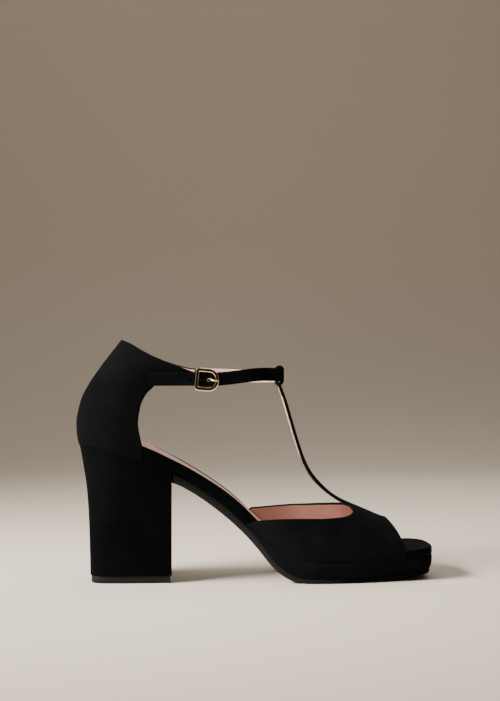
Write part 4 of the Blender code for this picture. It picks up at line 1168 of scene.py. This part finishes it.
def makeBuckle():
    deep = bucklePlane() - (counter["earHalf"] - buckle["barRadius"] - gap - sum(counter["walls"]))
    barAlong = (buckle["barX"] - buckle["x"]) / math.cos(buckle["tilt"])
    alongWay = bucklePlace(1, 0, 0) - bucklePlace(0, 0, 0)
    upWay = bucklePlace(0, 1, 0) - bucklePlace(0, 0, 0)

    rim = roundedSection(buckle["wide"], buckle["deep"], buckle["soft"])
    outline = [bucklePlace(along, up, 0) for along, up in frameOutline()]
    body, _ = sweep(planeFrames(outline, Vector((0, 1, 0)), lambda i: rim, True), True)
    closeSweep(body)
    half, bend = buckle["half"], buckle["legBend"]
    cut = buckle["legRound"] * bend
    leg = [(half, 0.0), (half, deep - bend), (half - cut, deep - cut), (half - bend, deep)]
    staple = [bucklePlace(barAlong, up, depth) for up, depth in leg]
    staple += [bucklePlace(barAlong, -up, depth) for up, depth in reversed(leg)]
    bar, _ = sweep(planeFrames(staple, alongWay, lambda i: roundWire(buckle["barRadius"])))
    closeSweep(bar)
    joinInto(body, bar)
    body.normal_update()
    # faces square to the buckle's plane take the darkened gold, a painted dark reflection
    for face in body.faces:
        face.material_index = int(abs(face.normal.y) > buckle["flatness"])
    frameBody = addPiece("buckleFrame", body, [looks["gilt"], looks["giltPaintedDarkFace"]], buckle["sharpAngle"])
    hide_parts("buckle_frame")

    eye = buckle["barRadius"] + gap + buckle["eye"]
    root, over = barAlong + eye, -buckle["wire"] - gap * buckle["prongLift"] - buckle["prong"]
    alongAt = tableCurve(buckle["pin"], 1)
    outAt = tableCurve(buckle["pin"], 2)
    taperAt = tableCurve(buckle["pin"], 3)
    shares = [i / buckle["pinSteps"] for i in range(buckle["pinSteps"] + 1)]
    pin = [bucklePlace(mix(root, buckle["tip"], alongAt(s)), 0, mix(deep, over, outAt(s))) for s in shares]
    body, _ = sweep(planeFrames(pin, upWay, lambda i: roundWire(buckle["prong"] * taperAt(shares[i]))))
    closeSweep(body)
    turns = [2 * math.pi * i / buckle["eyeSteps"] for i in range(buckle["eyeSteps"])]
    circle = [bucklePlace(barAlong + eye * math.cos(t), 0, deep + eye * math.sin(t)) for t in turns]
    wire = roundWire(buckle["eye"], buckle["eyeSides"])
    ringBody, _ = sweep(planeFrames(circle, upWay, lambda i: wire, True), True)
    closeSweep(ringBody)
    joinInto(body, ringBody)
    prong = addPiece("buckleProng", body, [looks["gilt"]], buckle["sharpAngle"])
    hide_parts("buckle_prong")


makeBuckle()
print("buckle made")


# plain floor sweep, soft light and camera
studio = {
    "eye": 142.6, "distance": 900.0, "azimuth": -4.0, "aside": -0.95, "lens": 70.05, "shiftY": 9.5 / 701,
    "floorColour": (0.72, 0.63, 0.52), "floorRough": 0.95, "floorGloss": 0.15,
    "fibreScale": 900.0, "fibreBump": 0.15, "fibreDepth": 0.4,
    "front": -4.0, "wallY": 1.2, "sweep": 0.35, "length": 8.0, "half": 4.0, "steps": 120, "sensor": 36.0,
    "worldColour": (1.0, 0.95, 0.88), "worldPower": 0.12,
    "lamps": {
        "key": {"place": (-0.99, -0.35, 0.74), "aim": (0, 0, 0.03), "size": (0.7, 0.25), "power": 5.3,
                "spread": 52, "tint": (1, 0.97, 0.92)},
        "overhead": {"place": (-0.1, 0.3, 1.6), "aim": (0, 0.35, 0), "size": (1.6, 1.6), "power": 5.5,
                     "spread": 150, "tint": (1, 0.97, 0.93)},
        "fill": {"place": (0.45, 0.85, 0.85), "aim": (0, 0, 0.05), "size": (1.0, 0.6), "power": 2.0,
                 "spread": 110, "tint": (1, 0.97, 0.93)},
    },
}


def makePaper():
    paper = bpy.data.materials.new("paper")
    paper.use_nodes = True
    tree = paper.node_tree
    place = tree.nodes.new("ShaderNodeTexCoord").outputs["Object"]
    fibres = addNoise(tree, place, studio["fibreScale"], detail=3.0, roughness=0.6)
    setInputs(tree, tree.nodes["Principled BSDF"], {
        "Base Color": (*studio["floorColour"], 1), "Roughness": studio["floorRough"],
        "Specular IOR Level": studio["floorGloss"],
        "Normal": addBump(tree, fibres, studio["fibreBump"], studio["fibreDepth"]),
    })
    return paper


def makeStudio():
    bm = bmesh.new()
    bmesh.ops.create_grid(bm, x_segments=1, y_segments=studio["steps"], size=1.0)
    radius = studio["sweep"]
    flat = studio["wallY"] - radius - studio["front"]
    bend = radius * math.pi / 2
    for v in bm.verts:
        run = (v.co.y + 1) / 2 * studio["length"]
        x = v.co.x * studio["half"]
        turn = min(max(run - flat, 0.0), bend) / radius
        y = min(run, flat) + studio["front"] + radius * math.sin(turn)
        v.co = (x, y, radius * (1 - math.cos(turn)) + max(run - flat - bend, 0.0))
    mesh = bpy.data.meshes.new("studioSweep")
    bm.to_mesh(mesh)
    bm.free()
    mesh.shade_smooth()
    mesh.materials.append(makePaper())
    sweepBody = linkObject("studioSweep", mesh)

    for name, look in studio["lamps"].items():
        light = bpy.data.lights.new(name, "AREA")
        light.energy = look["power"]
        light.shape = "RECTANGLE"
        light.size, light.size_y = look["size"]
        light.spread = math.radians(look["spread"])
        light.color = look["tint"]
        lamp = linkObject(name, light)
        lamp.location = look["place"]
        beam = Vector(look["aim"]) - Vector(look["place"])
        lamp.rotation_euler = beam.to_track_quat("-Z", "Y").to_euler()

    world = bpy.data.worlds.new("studio")
    world.use_nodes = True
    glow = {"Color": (*studio["worldColour"], 1), "Strength": studio["worldPower"]}
    setInputs(world.node_tree, world.node_tree.nodes["Background"], glow)
    bpy.context.scene.world = world

    turn = math.radians(studio["azimuth"])
    right = Vector((math.cos(turn), math.sin(turn), 0))
    forward = Vector((-math.sin(turn), math.cos(turn), 0))
    place = right * studio["aside"] - forward * studio["distance"] - middle
    camera = bpy.data.cameras.new("camera")
    camera.lens = studio["lens"]
    camera.sensor_width = studio["sensor"]
    camera.shift_y = studio["shiftY"]
    view = linkObject("camera", camera)
    view.location = Vector((place.x, place.y, studio["eye"])) * mm
    view.rotation_euler = (math.pi / 2, 0, turn)
    bpy.context.scene.camera = view


makeStudio()
print("studio made")
